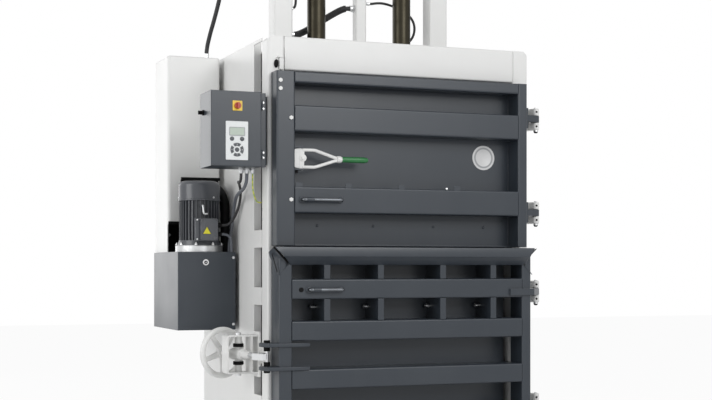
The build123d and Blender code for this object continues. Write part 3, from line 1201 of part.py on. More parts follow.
def main():
    """Build every node and write one file for each."""
    nodes = {
        "base_frame": build_base(),
        "corner_posts": build_corner_posts(),
        "side_wall_left": build_side_wall(-1),
        "side_wall_right": build_side_wall(1),
        "rear_wall": build_rear_wall(),
        "chamber_liner": build_liner(),
        "header_beam": build_header(),
        "top_frame": build_top_frame(),
        "portal": build_portal(),
        "piston_rods": build_piston_rods(),
        "frame_fasteners": build_frame_fasteners(),
        "hinge_lugs": build_hinge_lugs(),
        "upper_door_skin": build_upper_skin(),
        "upper_door_frame": build_upper_frame(),
        "upper_door_handle": grab_handle(UPPER_HANDLE_X, UPPER_FRONT, UPPER_HANDLE_Z),
        "upper_door_bolts": build_door_bolts(),
        "latch_fork": build_latch_fork(),
        "latch_grip": build_latch_grip(),
        "lower_door_frame": build_lower_frame(),
        "lower_door_skin": build_lower_skin(),
        "lower_door_liner": build_lower_liner(),
        "feed_lip": build_feed_lip(),
        "lower_door_handle": grab_handle(LOWER_HANDLE_X, LOWER_FRONT, LOWER_HANDLE_Z),
        "door_lugs": build_door_lugs(),
        "lower_door_pins": build_lower_pins(),
        "ram": build_ram(),
        "cylinder_barrels": build_barrels(),
        "lock_bracket": build_lock_bracket(),
        "lock_nut": build_lock_nut(),
        "lock_spindle": build_lock_spindle(),
        "handwheel": build_handwheel(),
        "control_box": build_control_box(),
        "control_door": build_control_door(),
        "switch_plate": build_switch_plate(),
        "switch_knob": build_switch_knob(),
        "keypad_panel": build_keypad_panel(),
        "keypad_display": build_keypad_display(),
        "keypad_keys": build_keypad_keys(),
        "side_lock": build_side_lock(),
        "power_cabinet": build_cabinet(),
        "cabinet_cover": build_cabinet_cover(),
        "cabinet_lock": build_cabinet_lock(),
        "hood": build_hood(),
        "motor_body": build_motor_body(),
        "motor_cowl": build_motor_cowl(),
        "motor_rotor": build_motor_rotor(),
        "terminal_box": build_terminal_box(),
        "cable_fittings": build_fittings(),
    }
    for index, x in enumerate(DIVIDER_OFFSETS, start=1):
        nodes[f"retaining_claw_{index}"] = build_claw(x)
    for name, (diameter, points) in HOSE_ROUTES.items():
        nodes[name] = hose(name, points, diameter)
    os.makedirs("parts", exist_ok=True)
    for name, shape in nodes.items():
        export_step(shape, f"parts/{name}.step")
    print(len(nodes), "nodes written")


main()
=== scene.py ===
"""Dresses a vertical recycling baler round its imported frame, and sets up a plain studio for it."""

import logging
import math
from dataclasses import dataclass
from enum import Enum
from functools import cache

import bmesh
import bpy
import numpy as np
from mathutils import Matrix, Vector


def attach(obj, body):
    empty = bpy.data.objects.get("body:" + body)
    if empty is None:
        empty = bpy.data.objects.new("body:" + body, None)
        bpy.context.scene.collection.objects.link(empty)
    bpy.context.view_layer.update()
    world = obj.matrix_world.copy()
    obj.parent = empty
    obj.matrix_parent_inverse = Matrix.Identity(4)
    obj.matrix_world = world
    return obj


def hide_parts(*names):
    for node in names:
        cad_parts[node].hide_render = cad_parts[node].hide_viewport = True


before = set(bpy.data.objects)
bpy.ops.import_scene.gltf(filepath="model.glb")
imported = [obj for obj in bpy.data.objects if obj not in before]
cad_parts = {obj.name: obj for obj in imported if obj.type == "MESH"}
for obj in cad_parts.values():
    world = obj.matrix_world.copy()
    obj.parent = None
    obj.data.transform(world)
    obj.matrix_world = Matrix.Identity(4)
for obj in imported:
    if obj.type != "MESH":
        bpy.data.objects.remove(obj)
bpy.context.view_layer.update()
LOG = logging.getLogger("baler")

Colour = tuple[float, float, float]
Point = tuple[float, float, float]
Place = Point | np.ndarray
Profile = list[tuple[float, float]]
Route = list[Point]

# The machine's front looks along -Y.
FORWARD: Point = (0.0, -1.0, 0.0)
RIGHTWARD: Point = (1.0, 0.0, 0.0)
LEFTWARD: Point = (-1.0, 0.0, 0.0)
UPWARD: Point = (0.0, 0.0, 1.0)
DOWNWARD: Point = (0.0, 0.0, -1.0)

EVEN: Point = (1.0, 1.0, 1.0)
OPAQUE_WHITE = (1.0, 1.0, 1.0, 1.0)
FULL_TURN = 2 * math.pi
QUARTER_TURN = math.pi / 2
SMOOTH_LIMIT = math.radians(38)
BEVEL_LIMIT = math.radians(40)


class Wire:
    """One output in a shader tree, which takes part in Python arithmetic."""

    def __init__(self, shader: "Shader", socket: bpy.types.NodeSocket) -> None:
        """Keep the socket and the tree that it belongs to."""
        self.shader = shader
        self.socket = socket

    def _maths(self, operation: str, first: "Wire | float", second: "Wire | float") -> "Wire":
        """Add a Math node of one operation on two values."""
        return self.shader.node("ShaderNodeMath", {0: first, 1: second}, operation=operation)

    def __add__(self, other: "Wire | float") -> "Wire":
        """Sum."""
        return self._maths("ADD", self, other)

    def __sub__(self, other: "Wire | float") -> "Wire":
        """Difference."""
        return self._maths("SUBTRACT", self, other)

    def __rsub__(self, other: float) -> "Wire":
        """Difference, number first."""
        return self._maths("SUBTRACT", other, self)

    def __mul__(self, other: "Wire | float") -> "Wire":
        """Product."""
        return self._maths("MULTIPLY", self, other)

    __radd__ = __add__
    __rmul__ = __mul__

    def larger(self, other: "Wire | float") -> "Wire":
        """Larger of the two."""
        return self._maths("MAXIMUM", self, other)

    def above(self, level: float) -> "Wire":
        """One where the value is over a level, and nought elsewhere."""
        return self._maths("GREATER_THAN", self, level)

    def eased(self, low: float, high: float) -> "Wire":
        """Smooth step from nought at low to one at high."""
        values = {"Value": self, "From Min": low, "From Max": high, "To Min": 0.0, "To Max": 1.0}
        return self.shader.node("ShaderNodeMapRange", values, interpolation_type="SMOOTHSTEP")


class Shader:
    """Node tree of a material or of the world, and the ways to add to it."""

    def __init__(self, owner: bpy.types.Material | bpy.types.World,
                 output: str = "ShaderNodeOutputMaterial") -> None:
        """Start with an empty tree.

        Args:
            owner: The material or world that the tree belongs to.
            output: Type of the tree's output node.
        """
        self.owner = owner
        owner.use_nodes = True
        self.tree = owner.node_tree
        self.tree.nodes.clear()
        self.output = self.tree.nodes.new(output)

    def node(self, kind: str, inputs: dict | None = None, output: int | str = 0,
             **settings: str | int) -> Wire:
        """Add one node.

        Args:
            kind: Node type.
            inputs: Values or wires by socket name or index.
            output: Which output to hand back.
            settings: Properties of the node, set before its sockets.

        Returns:
            The chosen output.
        """
        made = self.tree.nodes.new(kind)
        for key, value in settings.items():
            setattr(made, key, value)
        for key, value in (inputs or {}).items():
            if isinstance(value, Wire):
                self.tree.links.new(value.socket, made.inputs[key])
            else:
                made.inputs[key].default_value = value
        return Wire(self, made.outputs[output])

    def close(self, surface: Wire) -> None:
        """Lead a surface to the tree's output."""
        self.tree.links.new(surface.socket, self.output.inputs["Surface"])

    def place(self, stretch: Point = EVEN) -> Wire:
        """Object coordinates, scaled along each axis."""
        raw = self.node("ShaderNodeTexCoord", output="Object")
        return self.node("ShaderNodeMapping", {"Vector": raw, "Scale": stretch})

    def noise(self, scale: float, detail: float = 3.0, stretch: Point = EVEN) -> Wire:
        """Grey cloud noise, about nought to one, of a scale per metre."""
        values = {"Vector": self.place(stretch), "Scale": scale, "Detail": detail, "Roughness": 0.55}
        return self.node("ShaderNodeTexNoise", values)

    def grains(self, scale: float) -> Wire:
        """Distance to the nearest of many scattered points."""
        return self.node("ShaderNodeTexVoronoi", {"Vector": self.place(), "Scale": scale})

    def mix(self, mask: Wire | float, first: Colour | Wire, second: Colour | Wire) -> Wire:
        """Colour between two, by a mask."""
        values = {0: mask}
        for index, colour in ((6, first), (7, second)):
            values[index] = colour if isinstance(colour, Wire) else (*colour, 1.0)
        return self.node("ShaderNodeMix", values, 2, data_type="RGBA")

    def rounded_edges(self, radius: float) -> Wire:
        """Normal that is turned near sharp edges, as a rolled edge of a radius has it."""
        return self.node("ShaderNodeBevel", {"Radius": radius}, samples=6)

    def seen(self) -> Wire:
        """One for the camera's rays, mirrored or not, and nought for light that bounces."""
        kinds = ("Is Camera Ray", "Is Glossy Ray", "Is Transmission Ray")
        mask, *others = [self.node("ShaderNodeLightPath", output=kind) for kind in kinds]
        for other in others:
            mask = mask.larger(other)
        return mask

    def bump(self, height: Wire, distance: float, normal: Wire | None = None) -> Wire:
        """Normal of a relief with a height in metres."""
        values = {"Height": height, "Distance": distance}
        if normal is not None:
            values["Normal"] = normal
        return self.node("ShaderNodeBump", values)


@dataclass(frozen=True)
class Finish:
    """What every finish has: a name, a slot name and the two colours that it mixes."""

    name: str
    slot: str
    colour: Colour
    second: Colour

    def material(self) -> bpy.types.Material:
        """Build the material: one Principled shader with the finish's own inputs."""
        shader = Shader(bpy.data.materials.new(self.name))
        shader.close(shader.node("ShaderNodeBsdfPrincipled", self.inputs(shader)))
        return shader.owner

    def inputs(self, shader: Shader) -> dict[str, Wire | float]:
        """Values and wires for the Principled shader.

        Args:
            shader: The tree that the wires belong to.

        Returns:
            Values and wires by socket name.
        """
        raise NotImplementedError


@dataclass(frozen=True)
class Paint(Finish):
    """Powder coat with a fine peel, faint clouds of tone and settled dust."""

    roughness: float = 0.42
    peel: float = 0.00006
    peel_scale: float = 420.0
    dust: float = 0.12
    edge: float = 0.0015

    def inputs(self, shader: Shader) -> dict[str, Wire | float]:
        """Clouds, streaks and flecks of dust over the coat, and its peel."""
        clouds = shader.noise(2.3, 4.0)
        streaks = shader.noise(9.0, 4.0, (1.0, 1.0, 0.16))
        specks = shader.grains(160.0)
        dirt = clouds.eased(0.42, 0.75) * 0.6 + streaks.eased(0.5, 0.8) * 0.4
        base = shader.mix(dirt * self.dust, self.colour, self.second)
        fleck = (1 - specks.eased(0.04, 0.11)) * shader.noise(30.0).eased(0.6, 0.7) * 0.35
        base = shader.mix(fleck * self.dust * 2, base, self.second)
        rough = self.roughness + (clouds - 0.5) * 0.10 + dirt * 0.06
        peel = shader.noise(self.peel_scale, 2.0)
        normal = shader.bump(peel, self.peel, shader.rounded_edges(self.edge))
        return {"Base Color": base, "Roughness": rough, "Normal": normal}


@dataclass(frozen=True)
class Metal(Finish):
    """Bare or plated metal with fine drawn lines and a few dull patches."""

    roughness: float = 0.3
    lines: Point = (1.0, 1.0, 0.05)
    line_depth: float = 0.00003
    stained: float = 0.5

    def inputs(self, shader: Shader) -> dict[str, Wire | float]:
        """Dull patches and spots on the metal, and its drawn lines."""
        drawn = shader.noise(700.0, 3.0, self.lines)
        patches = shader.noise(14.0, 5.0)
        spots = shader.grains(90.0)
        dull = patches.eased(0.45, 0.72) * self.stained
        base = shader.mix(dull, self.colour, self.second)
        base = shader.mix((1 - spots.eased(0.03, 0.14)) * 0.3 * self.stained, base, self.second)
        rough = self.roughness + dull * 0.22 + (drawn - 0.5) * 0.12
        normal = shader.bump(drawn, self.line_depth, shader.rounded_edges(0.0008))
        return {"Base Color": base, "Metallic": 1.0, "Roughness": rough, "Normal": normal}


@dataclass(frozen=True)
class Rubber(Finish):
    """Dull rubber or soft plastic with a fine grain and a bloom of dust."""

    roughness: float = 0.62
    grain: float = 900.0

    def inputs(self, shader: Shader) -> dict[str, Wire | float]:
        """Bloom of dust on the rubber, and its grain."""
        bloom = shader.noise(12.0, 4.0).eased(0.45, 0.8)
        base = shader.mix(bloom * 0.35, self.colour, self.second)
        grain = shader.noise(self.grain, 2.0)
        rough = self.roughness + bloom * 0.12 + (grain - 0.5) * 0.08
        return {"Base Color": base, "Roughness": rough, "Normal": shader.bump(grain, 0.00008)}


@dataclass(frozen=True)
class Plastic(Finish):
    """Moulded plastic with a fine spark grain."""

    roughness: float = 0.4
    grain: float = 1100.0
    specular: float = 0.5

    def inputs(self, shader: Shader) -> dict[str, Wire | float]:
        """Rubbed places on the plastic, and its grain."""
        rubbed = shader.noise(26.0, 4.0).eased(0.5, 0.75)
        base = shader.mix(rubbed * 0.4, self.colour, self.second)
        grain = shader.grains(self.grain)
        rough = self.roughness + (grain - 0.3) * 0.12 + rubbed * -0.05
        normal = shader.bump(grain, 0.00005, shader.rounded_edges(0.0006))
        return {"Base Color": base, "Roughness": rough, "Normal": normal, "Specular IOR Level": self.specular}


@dataclass(frozen=True)
class Display(Finish):
    """Backlit grey-green display glass with unlit dark cells."""

    def inputs(self, shader: Shader) -> dict[str, Wire | float]:
        """Cells and shade of the glass, under a clear coat."""
        fine = shader.grains(520.0).eased(0.1, 0.5)
        shade = shader.noise(18.0, 2.0)
        base = shader.mix(fine * 0.25, self.colour, self.second)
        base = shader.mix(shade.eased(0.4, 0.8) * 0.15, base, self.second)
        return {"Base Color": base, "Roughness": 0.12 + fine * 0.05, "Coat Weight": 0.5}


@dataclass(frozen=True)
class Jacket(Finish):
    """Two-colour wire jacket, whose bands in height take half of each pitch.

    The wave texture repeats every unit_wave metres at a scale of one.
    """

    pitch: float = 0.024
    unit_wave: float = 0.314

    def inputs(self, shader: Shader) -> dict[str, Wire | float]:
        """Bands of the jacket, and its grain."""
        values = {"Vector": shader.place(), "Scale": self.unit_wave / self.pitch, "Distortion": 0.0}
        wave = shader.node("ShaderNodeTexWave", values, 1, wave_type="BANDS", bands_direction="Z")
        base = shader.mix(wave.above(0.5), self.colour, self.second)
        grain = shader.noise(600.0, 2.0)
        rough = 0.4 + (grain - 0.5) * 0.1
        return {"Base Color": base, "Roughness": rough, "Normal": shader.bump(grain, 0.00004)}


WHITE = Paint("warm_white_coat", "white_paint", (0.80, 0.80, 0.785), (0.60, 0.58, 0.54), 0.36, dust=0.10)
ANTHRACITE = Paint("anthracite_coat", "anthracite_paint", (0.029, 0.037, 0.048), (0.080, 0.086, 0.092), 0.33,
                   peel=0.00009, peel_scale=340.0, dust=0.18, edge=0.0034)
LINER = Paint("chamber_coat", "grey_plate", (0.30, 0.30, 0.31), (0.17, 0.14, 0.11), 0.48, dust=0.6)
MOTOR = Paint("motor_enamel", "motor_paint", (0.082, 0.088, 0.100), (0.17, 0.17, 0.175), 0.24,
              peel=0.00016, peel_scale=150.0, dust=0.3, edge=0.0012)
BARREL = Paint("barrel_enamel", "barrel_paint", (0.10, 0.10, 0.105), (0.20, 0.19, 0.17), 0.34, dust=0.3)
ZINC = Metal("zinc_plate", "zinc_steel", (0.70, 0.71, 0.72), (0.50, 0.49, 0.47), 0.32)
ALUMINIUM = Metal("cast_aluminium", "zinc_steel", (0.64, 0.65, 0.66), (0.44, 0.44, 0.43), 0.36,
                  lines=EVEN, line_depth=0.00006)
HANDLE = Metal("handle_steel", "anthracite_paint", (0.15, 0.16, 0.175), (0.09, 0.095, 0.10), 0.36,
               lines=(0.05, 1.0, 1.0))
# The rods' dark olive-brown colour is a painted reflection of dark surroundings on the chrome.
ROD = Metal("rod_chrome", "rod_chrome", (0.040, 0.036, 0.026), (0.026, 0.023, 0.016), 0.34,
            lines=(1.0, 1.0, 12.0), line_depth=0.00001, stained=0.35)
HOSE = Rubber("hose_rubber", "hose_rubber", (0.022, 0.022, 0.024), (0.09, 0.088, 0.085))
CONDUIT = Rubber("conduit_plastic", "conduit_grey", (0.11, 0.12, 0.14), (0.20, 0.20, 0.21), 0.5)
EARTH = Jacket("earth_jacket", "wire_green_yellow", (0.62, 0.62, 0.10), (0.30, 0.42, 0.10))
GRIP = Plastic("green_grip", "grip_green", (0.016, 0.16, 0.040), (0.05, 0.22, 0.08), 0.34)
YELLOW = Plastic("yellow_plate", "switch_yellow", (0.84, 0.58, 0.04), (0.78, 0.58, 0.14), 0.3)
SIGN = Plastic("yellow_sign", "switch_yellow", (0.78, 0.72, 0.02), (0.74, 0.70, 0.10), 0.35)
RED = Plastic("red_knob", "switch_red", (0.42, 0.045, 0.02), (0.36, 0.06, 0.04), 0.3)
PANEL = Plastic("keypad_foil", "keypad_grey", (0.80, 0.82, 0.82), (0.68, 0.70, 0.70), 0.42)
KEY = Plastic("key_dome", "key_dark", (0.060, 0.066, 0.076), (0.12, 0.13, 0.14), 0.36)
SCREEN = Display("screen_glass", "display_green", (0.52, 0.60, 0.52), (0.36, 0.42, 0.36))
PLATE_PALE = Plastic("bare_plate", "keypad_grey", (0.70, 0.70, 0.70), (0.60, 0.60, 0.60), 0.35)
PLATE_GREY = Plastic("plate_ring", "keypad_grey", (0.36, 0.37, 0.38), (0.44, 0.44, 0.45), 0.35)
BLACK = Plastic("black_plastic", "key_dark", (0.004, 0.004, 0.0045), (0.014, 0.014, 0.015), 0.55,
                specular=0.12)


@cache
def coat(finish: Finish) -> bpy.types.Material:
    """Material of a finish, built once and then shared."""
    return finish.material()


def dress(finish: Finish, *nodes: str) -> None:
    """Give carried-over frame nodes a finish.

    Args:
        finish: The finish to give.
        nodes: Names of the nodes.
    """
    for name in nodes:
        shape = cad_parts[name]
        if not shape.data.materials:
            shape.data.materials.append(coat(finish))
        for slot in shape.material_slots:
            slot.material = coat(finish)
        LOG.info("dressed %s in %s", name, finish.name)


@dataclass
class Patch:
    """Points and faces of one or more surfaces."""

    points: np.ndarray
    faces: list[list[int]]

    def at_each(self, places: list[Point]) -> "Patch":
        """Copy the patch to each place, by adding the place to every point.

        Args:
            places: Where the copies go.

        Returns:
            One patch with all the copies.
        """
        return joined([Patch(self.points + np.asarray(place), self.faces) for place in places])


def joined(patches: list[Patch]) -> Patch:
    """One patch from several."""
    points = np.concatenate([patch.points for patch in patches])
    faces = []
    start = 0
    for patch in patches:
        faces += [[corner + start for corner in face] for face in patch.faces]
        start += len(patch.points)
    return Patch(points, faces)


def gridded(points: np.ndarray, wrap_rows: bool = False, wrap_columns: bool = False) -> Patch:
    """Faces between neighbours of a grid of points.

    Args:
        points: Rows by columns by three.
        wrap_rows: Join the last row to the first.
        wrap_columns: Join the last column to the first.

    Returns:
        The patch of four-cornered faces.
    """
    rows, columns = points.shape[:2]
    index = np.arange(rows * columns).reshape(rows, columns)
    if wrap_rows:
        index = np.vstack([index, index[:1]])
    if wrap_columns:
        index = np.hstack([index, index[:, :1]])
    corners = np.stack([index[:-1, :-1], index[:-1, 1:], index[1:, 1:], index[1:, :-1]], axis=-1)
    return Patch(points.reshape(-1, 3), corners.reshape(-1, 4).tolist())


def lofted(outlines: np.ndarray) -> Patch:
    """Closed outlines, one row each, joined in turn and closed by a face at each end."""
    patch = gridded(outlines, wrap_columns=True)
    rows, count = outlines.shape[:2]
    last = (rows - 1) * count
    patch.faces += [list(range(count)), list(range(last, last + count))]
    return patch


def across(direction: Place) -> tuple[np.ndarray, np.ndarray, np.ndarray]:
    """Three unit vectors at right angles, the last along a direction and the second nearest to up."""
    along = np.asarray(direction, dtype=float)
    along = along / np.linalg.norm(along)
    up = np.array(UPWARD) if abs(along[2]) < 0.9 else -np.array(FORWARD)
    side = np.cross(up, along)
    side = side / np.linalg.norm(side)
    return side, np.cross(along, side), along


def spokes(count: int) -> np.ndarray:
    """Even angles round one full turn."""
    return np.linspace(0, FULL_TURN, count, endpoint=False)


def bearings(angle: np.ndarray) -> np.ndarray:
    """Unit vectors in a plane at some angles."""
    return np.stack([np.cos(angle), np.sin(angle)], axis=-1)


def smoothed(values: np.ndarray, width: int) -> np.ndarray:
    """Running mean of an odd width, with the end values held."""
    return np.convolve(np.pad(values, width // 2, mode="edge"), np.full(width, 1 / width), mode="valid")


def straight(start: Place, end: Place, count: int) -> np.ndarray:
    """Even points from a start to an end."""
    share = np.linspace(0.0, 1.0, count)[:, None]
    return np.asarray(start) + np.subtract(end, start) * share


def turned(profile: Profile, centre: Place, direction: Place, segments: int = 32) -> Patch:
    """Surface of revolution: each profile row (radius, height) swept round the axis by cosine and sine.

    Args:
        profile: Radius and height of each row, from one end to the other.
        centre: Where height nought lies.
        direction: The axis.
        segments: Faces round the axis.

    Returns:
        The patch, closed where a radius is nought.
    """
    side, up, along = across(direction)
    rows = np.asarray(profile, dtype=float)
    angle = spokes(segments)
    ring = np.cos(angle)[:, None] * side + np.sin(angle)[:, None] * up
    points = rows[:, None, :1] * ring[None] + rows[:, None, 1:] * along + np.asarray(centre, dtype=float)
    return gridded(points, wrap_columns=True)


def head(profile: Profile, centre: Place, direction: Place, segments: int = 20) -> Patch:
    """Turned solid head or disc, whose flat seat is added to the profile of its side and top."""
    return turned([(0.0, 0.0), *profile], centre, direction, segments)


def tube(inner: float, outer: float, length: float) -> Profile:
    """Profile of a plain tube."""
    return [(inner, 0.0), (outer, 0.0), (outer, length), (inner, length), (inner, 0.0)]


def hexagonal(width: float, height: float, centre: Place, direction: Place, bore: float = 0.0) -> Patch:
    """Hexagon head or nut: a ring whose radius is the hexagon's polar formula, with its corners chamfered.

    Args:
        width: Size across the flats.
        height: Height along the axis.
        centre: Middle of the seat.
        direction: The axis, away from the seat.
        bore: Radius of a hole, or nought for a closed top.

    Returns:
        The closed patch.
    """
    count, chamfered, top, shoulder = 36, 0.525, 0.3, 0.9
    side, up, along = across(direction)
    angle = spokes(count)
    flat = width / 2 / np.cos(np.mod(angle, math.pi / 3) - math.pi / 6)
    hole = np.full(count, bore)
    radii = np.stack([hole, flat, flat, np.minimum(flat, width * chamfered),
                      np.full(count, max(bore, width * top)), hole])
    heights = np.array([0.0, 0.0, shoulder, 1.0, 1.0, 1.0]) * height
    ring = np.cos(angle)[:, None] * side + np.sin(angle)[:, None] * up
    points = radii[:, :, None] * ring[None] + heights[:, None, None] * along + np.asarray(centre, dtype=float)
    return gridded(points, wrap_rows=bore > 0, wrap_columns=True)


def swept(path: np.ndarray, section: np.ndarray, up: Place = UPWARD) -> Patch:
    """Section carried along a path: each point is the path's plus the section's two parts, across and up.

    Args:
        path: Points of the path.
        section: Closed outline, across and up.
        up: Direction that the section's second part leans to.

    Returns:
        The patch, closed at both ends.
    """
    tangent = np.gradient(path, axis=0)
    tangent = tangent / np.linalg.norm(tangent, axis=1, keepdims=True)
    side = np.cross(np.asarray(up, dtype=float), tangent)
    side = side / np.linalg.norm(side, axis=1, keepdims=True)
    lift = np.cross(tangent, side)
    return lofted(path[:, None] + section[None, :, :1] * side[:, None] + section[None, :, 1:] * lift[:, None])


def disc_section(radius: float, segments: int = 12) -> np.ndarray:
    """Round outline of a radius."""
    return radius * bearings(spokes(segments))


def triangle(radius: float) -> np.ndarray:
    """Even triangle with a corner upwards, out to a radius."""
    return radius * bearings(QUARTER_TURN + spokes(3))


def strip_section(half_width: float, half_thickness: float) -> np.ndarray:
    """Flat rectangular outline."""
    return np.array([(-half_width, -half_thickness), (half_width, -half_thickness),
                     (half_width, half_thickness), (-half_width, half_thickness)])


def soft_rectangle(width: float, height: float, radius: float, steps: int = 5) -> np.ndarray:
    """Outline of a rectangle with a quarter circle at each corner.

    Args:
        width: Full width.
        height: Full height.
        radius: Corner radius.
        steps: Points in each corner.

    Returns:
        The closed outline.
    """
    angle = np.linspace(0, QUARTER_TURN, steps)[None, :] + np.arange(4)[:, None] * QUARTER_TURN
    signs = np.array([[1, 1], [-1, 1], [-1, -1], [1, -1]])
    centres = signs * np.array([width / 2 - radius, height / 2 - radius])
    return (centres[:, None, :] + radius * bearings(angle)).reshape(-1, 2)


def slab(outline: np.ndarray, thickness: float, centre: Place, direction: Place = FORWARD) -> Patch:
    """Flat outline drawn out by a thickness.

    Args:
        outline: Closed outline, across and up.
        thickness: Distance along the direction.
        centre: Where the outline's nought lies, on the seat.
        direction: Away from the seat.

    Returns:
        The closed patch.
    """
    side, up, along = across(direction)
    flat = outline[:, :1] * side + outline[:, 1:] * up + np.asarray(centre, dtype=float)
    return lofted(np.stack([flat, flat + along * thickness]))


def placed(name: str, data: bpy.types.ID) -> bpy.types.Object:
    """Object of some data, linked into the scene."""
    made = bpy.data.objects.new(name, data)
    bpy.context.scene.collection.objects.link(made)
    return made


def meshed(name: str, patch: Patch) -> bpy.types.Mesh:
    """Mesh of a patch."""
    mesh = bpy.data.meshes.new(name)
    mesh.from_pydata(patch.points.tolist(), [], patch.faces)
    return mesh


def tidied(mesh: bpy.types.Mesh) -> None:
    """Weld the mesh's doubled points, turn its faces outwards and smooth all but its sharp edges."""
    shape = bmesh.new()
    shape.from_mesh(mesh)
    bmesh.ops.remove_doubles(shape, verts=shape.verts, dist=1e-6)
    bmesh.ops.dissolve_degenerate(shape, edges=shape.edges, dist=1e-7)
    bmesh.ops.recalc_face_normals(shape, faces=shape.faces)
    shape.to_mesh(mesh)
    shape.free()
    mesh.polygons.foreach_set("use_smooth", np.ones(len(mesh.polygons), dtype=bool))
    mesh.set_sharp_from_angle(angle=SMOOTH_LIMIT)


def make_piece(name: str, patches: list[Patch], finish: Finish, body: str, bevel: float = 0.0,
               replaces: tuple[str, ...] = ()) -> bpy.types.Object:
    """Put patches into one mesh object, closed and with its faces outwards, and give it a finish and a body.

    Args:
        name: Name of the piece.
        patches: Its surfaces.
        finish: Its finish.
        body: The body that it rides on.
        bevel: Width of a bevel on its sharp edges, or nought.
        replaces: Frame nodes that it stands for.

    Returns:
        The object.
    """
    mesh = meshed(name, joined(patches))
    tidied(mesh)
    piece = placed(name, mesh)
    if bevel:
        rounding = piece.modifiers.new("rounding", "BEVEL")
        rounding.width = bevel
        rounding.segments = 2
        rounding.limit_method = "ANGLE"
        rounding.angle_limit = BEVEL_LIMIT
        rounding.harden_normals = True
    mesh.materials.append(coat(finish))
    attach(piece, body)
    if replaces:
        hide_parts(*replaces)
    LOG.info("made %s on %s: %d points", name, body, len(mesh.vertices))
    return piece


@dataclass
class Studio:
    """Pale floor, soft lights and the camera at the photograph's station."""

    camera_place: Point = (-2.600, -6.586, 1.110)
    yaw_degrees: float = 21.4
    sensor: float = 36.0
    lens: float = 68.16
    lift: float = 0.0955
    view_depth: float = 200.0
    floor_size: float = 40.0
    floor_white: float = 0.94
    world_strength: float = 0.47
    world_tint: Colour = (0.97, 0.98, 1.0)

    def build(self) -> None:
        """Make the camera, the floor, the lights and the world."""
        self._camera()
        self._floor()
        self._lights()
        self._world()
        bpy.context.scene.view_settings.view_transform = "Standard"

    def _camera(self) -> None:
        """Level camera, shifted up as the photograph is framed."""
        data = bpy.data.cameras.new("camera")
        data.sensor_width = self.sensor
        data.lens = self.lens
        data.shift_y = self.lift
        data.clip_end = self.view_depth
        camera = placed("camera", data)
        camera.location = self.camera_place
        camera.rotation_euler = (QUARTER_TURN, 0.0, -math.radians(self.yaw_degrees))
        bpy.context.scene.camera = camera

    def _floor(self) -> None:
        """Flat pale floor that looks white to the camera and keeps the object's shadow."""
        half = self.floor_size / 2
        line = np.linspace(-half, half, 9)
        across_floor, along_floor = np.meshgrid(line, line)
        points = np.stack([across_floor, along_floor, np.zeros_like(across_floor)], axis=-1)
        floor = placed("studio_floor", meshed("studio_floor", gridded(points)))
        floor.data.materials.append(self._paper())

    def _paper(self) -> bpy.types.Material:
        """Pale paper that the camera and reflections see mostly as white, so that shadows stay faint."""
        shader = Shader(bpy.data.materials.new("floor_paper"))
        tone = shader.mix(shader.noise(3.0, 2.0) * 0.1, (0.86, 0.86, 0.86), (0.80, 0.80, 0.80))
        paper = shader.node("ShaderNodeBsdfDiffuse", {"Color": tone})
        white = shader.node("ShaderNodeEmission", {"Color": OPAQUE_WHITE, "Strength": 1.0})
        share = shader.seen() * self.floor_white
        shader.close(shader.node("ShaderNodeMixShader", {0: share, 1: paper, 2: white}))
        return shader.owner

    @staticmethod
    def _lamp(name: str, place: Point, target: Point, size: float, watts: float) -> None:
        """One square soft lamp that faces a target and isn't seen itself."""
        data = bpy.data.lights.new(name, "AREA")
        data.shape = "SQUARE"
        data.size = size
        data.energy = watts
        lamp = placed(name, data)
        lamp.location = place
        lamp.visible_camera = False
        aim = Vector(target) - Vector(place)
        lamp.rotation_euler = aim.to_track_quat("-Z", "Y").to_euler()

    def _lights(self) -> None:
        """Broad lights from the left and the front, and one behind for the sheen of the left faces."""
        middle = (0.0, 0.0, 1.5)
        self._lamp("left_lamp", (-7.4, -2.0, 3.0), middle, size=4.0, watts=172.0)
        self._lamp("sheen_lamp", (-3.7, 6.9, 2.4), (-0.9, 0.0, 1.4), size=3.6, watts=58.0)
        self._lamp("front_lamp", (1.6, -7.6, 4.6), middle, size=3.5, watts=230.0)

    def _world(self) -> None:
        """World that lights softly and is white to the camera and in reflections."""
        world = bpy.data.worlds.new("studio_world")
        bpy.context.scene.world = world
        shader = Shader(world, "ShaderNodeOutputWorld")
        tint = (*self.world_tint, 1.0)
        lit = shader.node("ShaderNodeBackground", {"Color": tint, "Strength": self.world_strength})
        white = shader.node("ShaderNodeBackground", {"Color": OPAQUE_WHITE, "Strength": 1.0})
        shader.close(shader.node("ShaderNodeMixShader", {0: shader.seen(), 1: lit, 2: white}))


def spline_points(route: Route, steps: int) -> np.ndarray:
    """Points on the quadratic spline that a NURBS curve of order three with end points follows.

    Its spans are quadratic arcs: each runs between the middles of two control lines and bends at the control
    point between them, and the first and last run to the end points themselves.

    Args:
        route: Control points.
        steps: Points in each span.

    Returns:
        The points, in order.
    """
    control = np.asarray(route, dtype=float)
    middle = (control[1:-2] + control[2:-1]) / 2
    start = np.vstack([control[:1], middle])[:, None]
    end = np.vstack([middle, control[-1:]])[:, None]
    bend = control[1:-1][:, None]
    share = np.linspace(0.0, 1.0, steps, endpoint=False)[None, :, None]
    points = (1 - share) ** 2 * start + 2 * share * (1 - share) * bend + share**2 * end
    return np.vstack([points.reshape(-1, 3), control[-1:]])


class Stiffness(Enum):
    STIFF = "stiff"
    MEDIUM = "medium"
    LIMP = "limp"


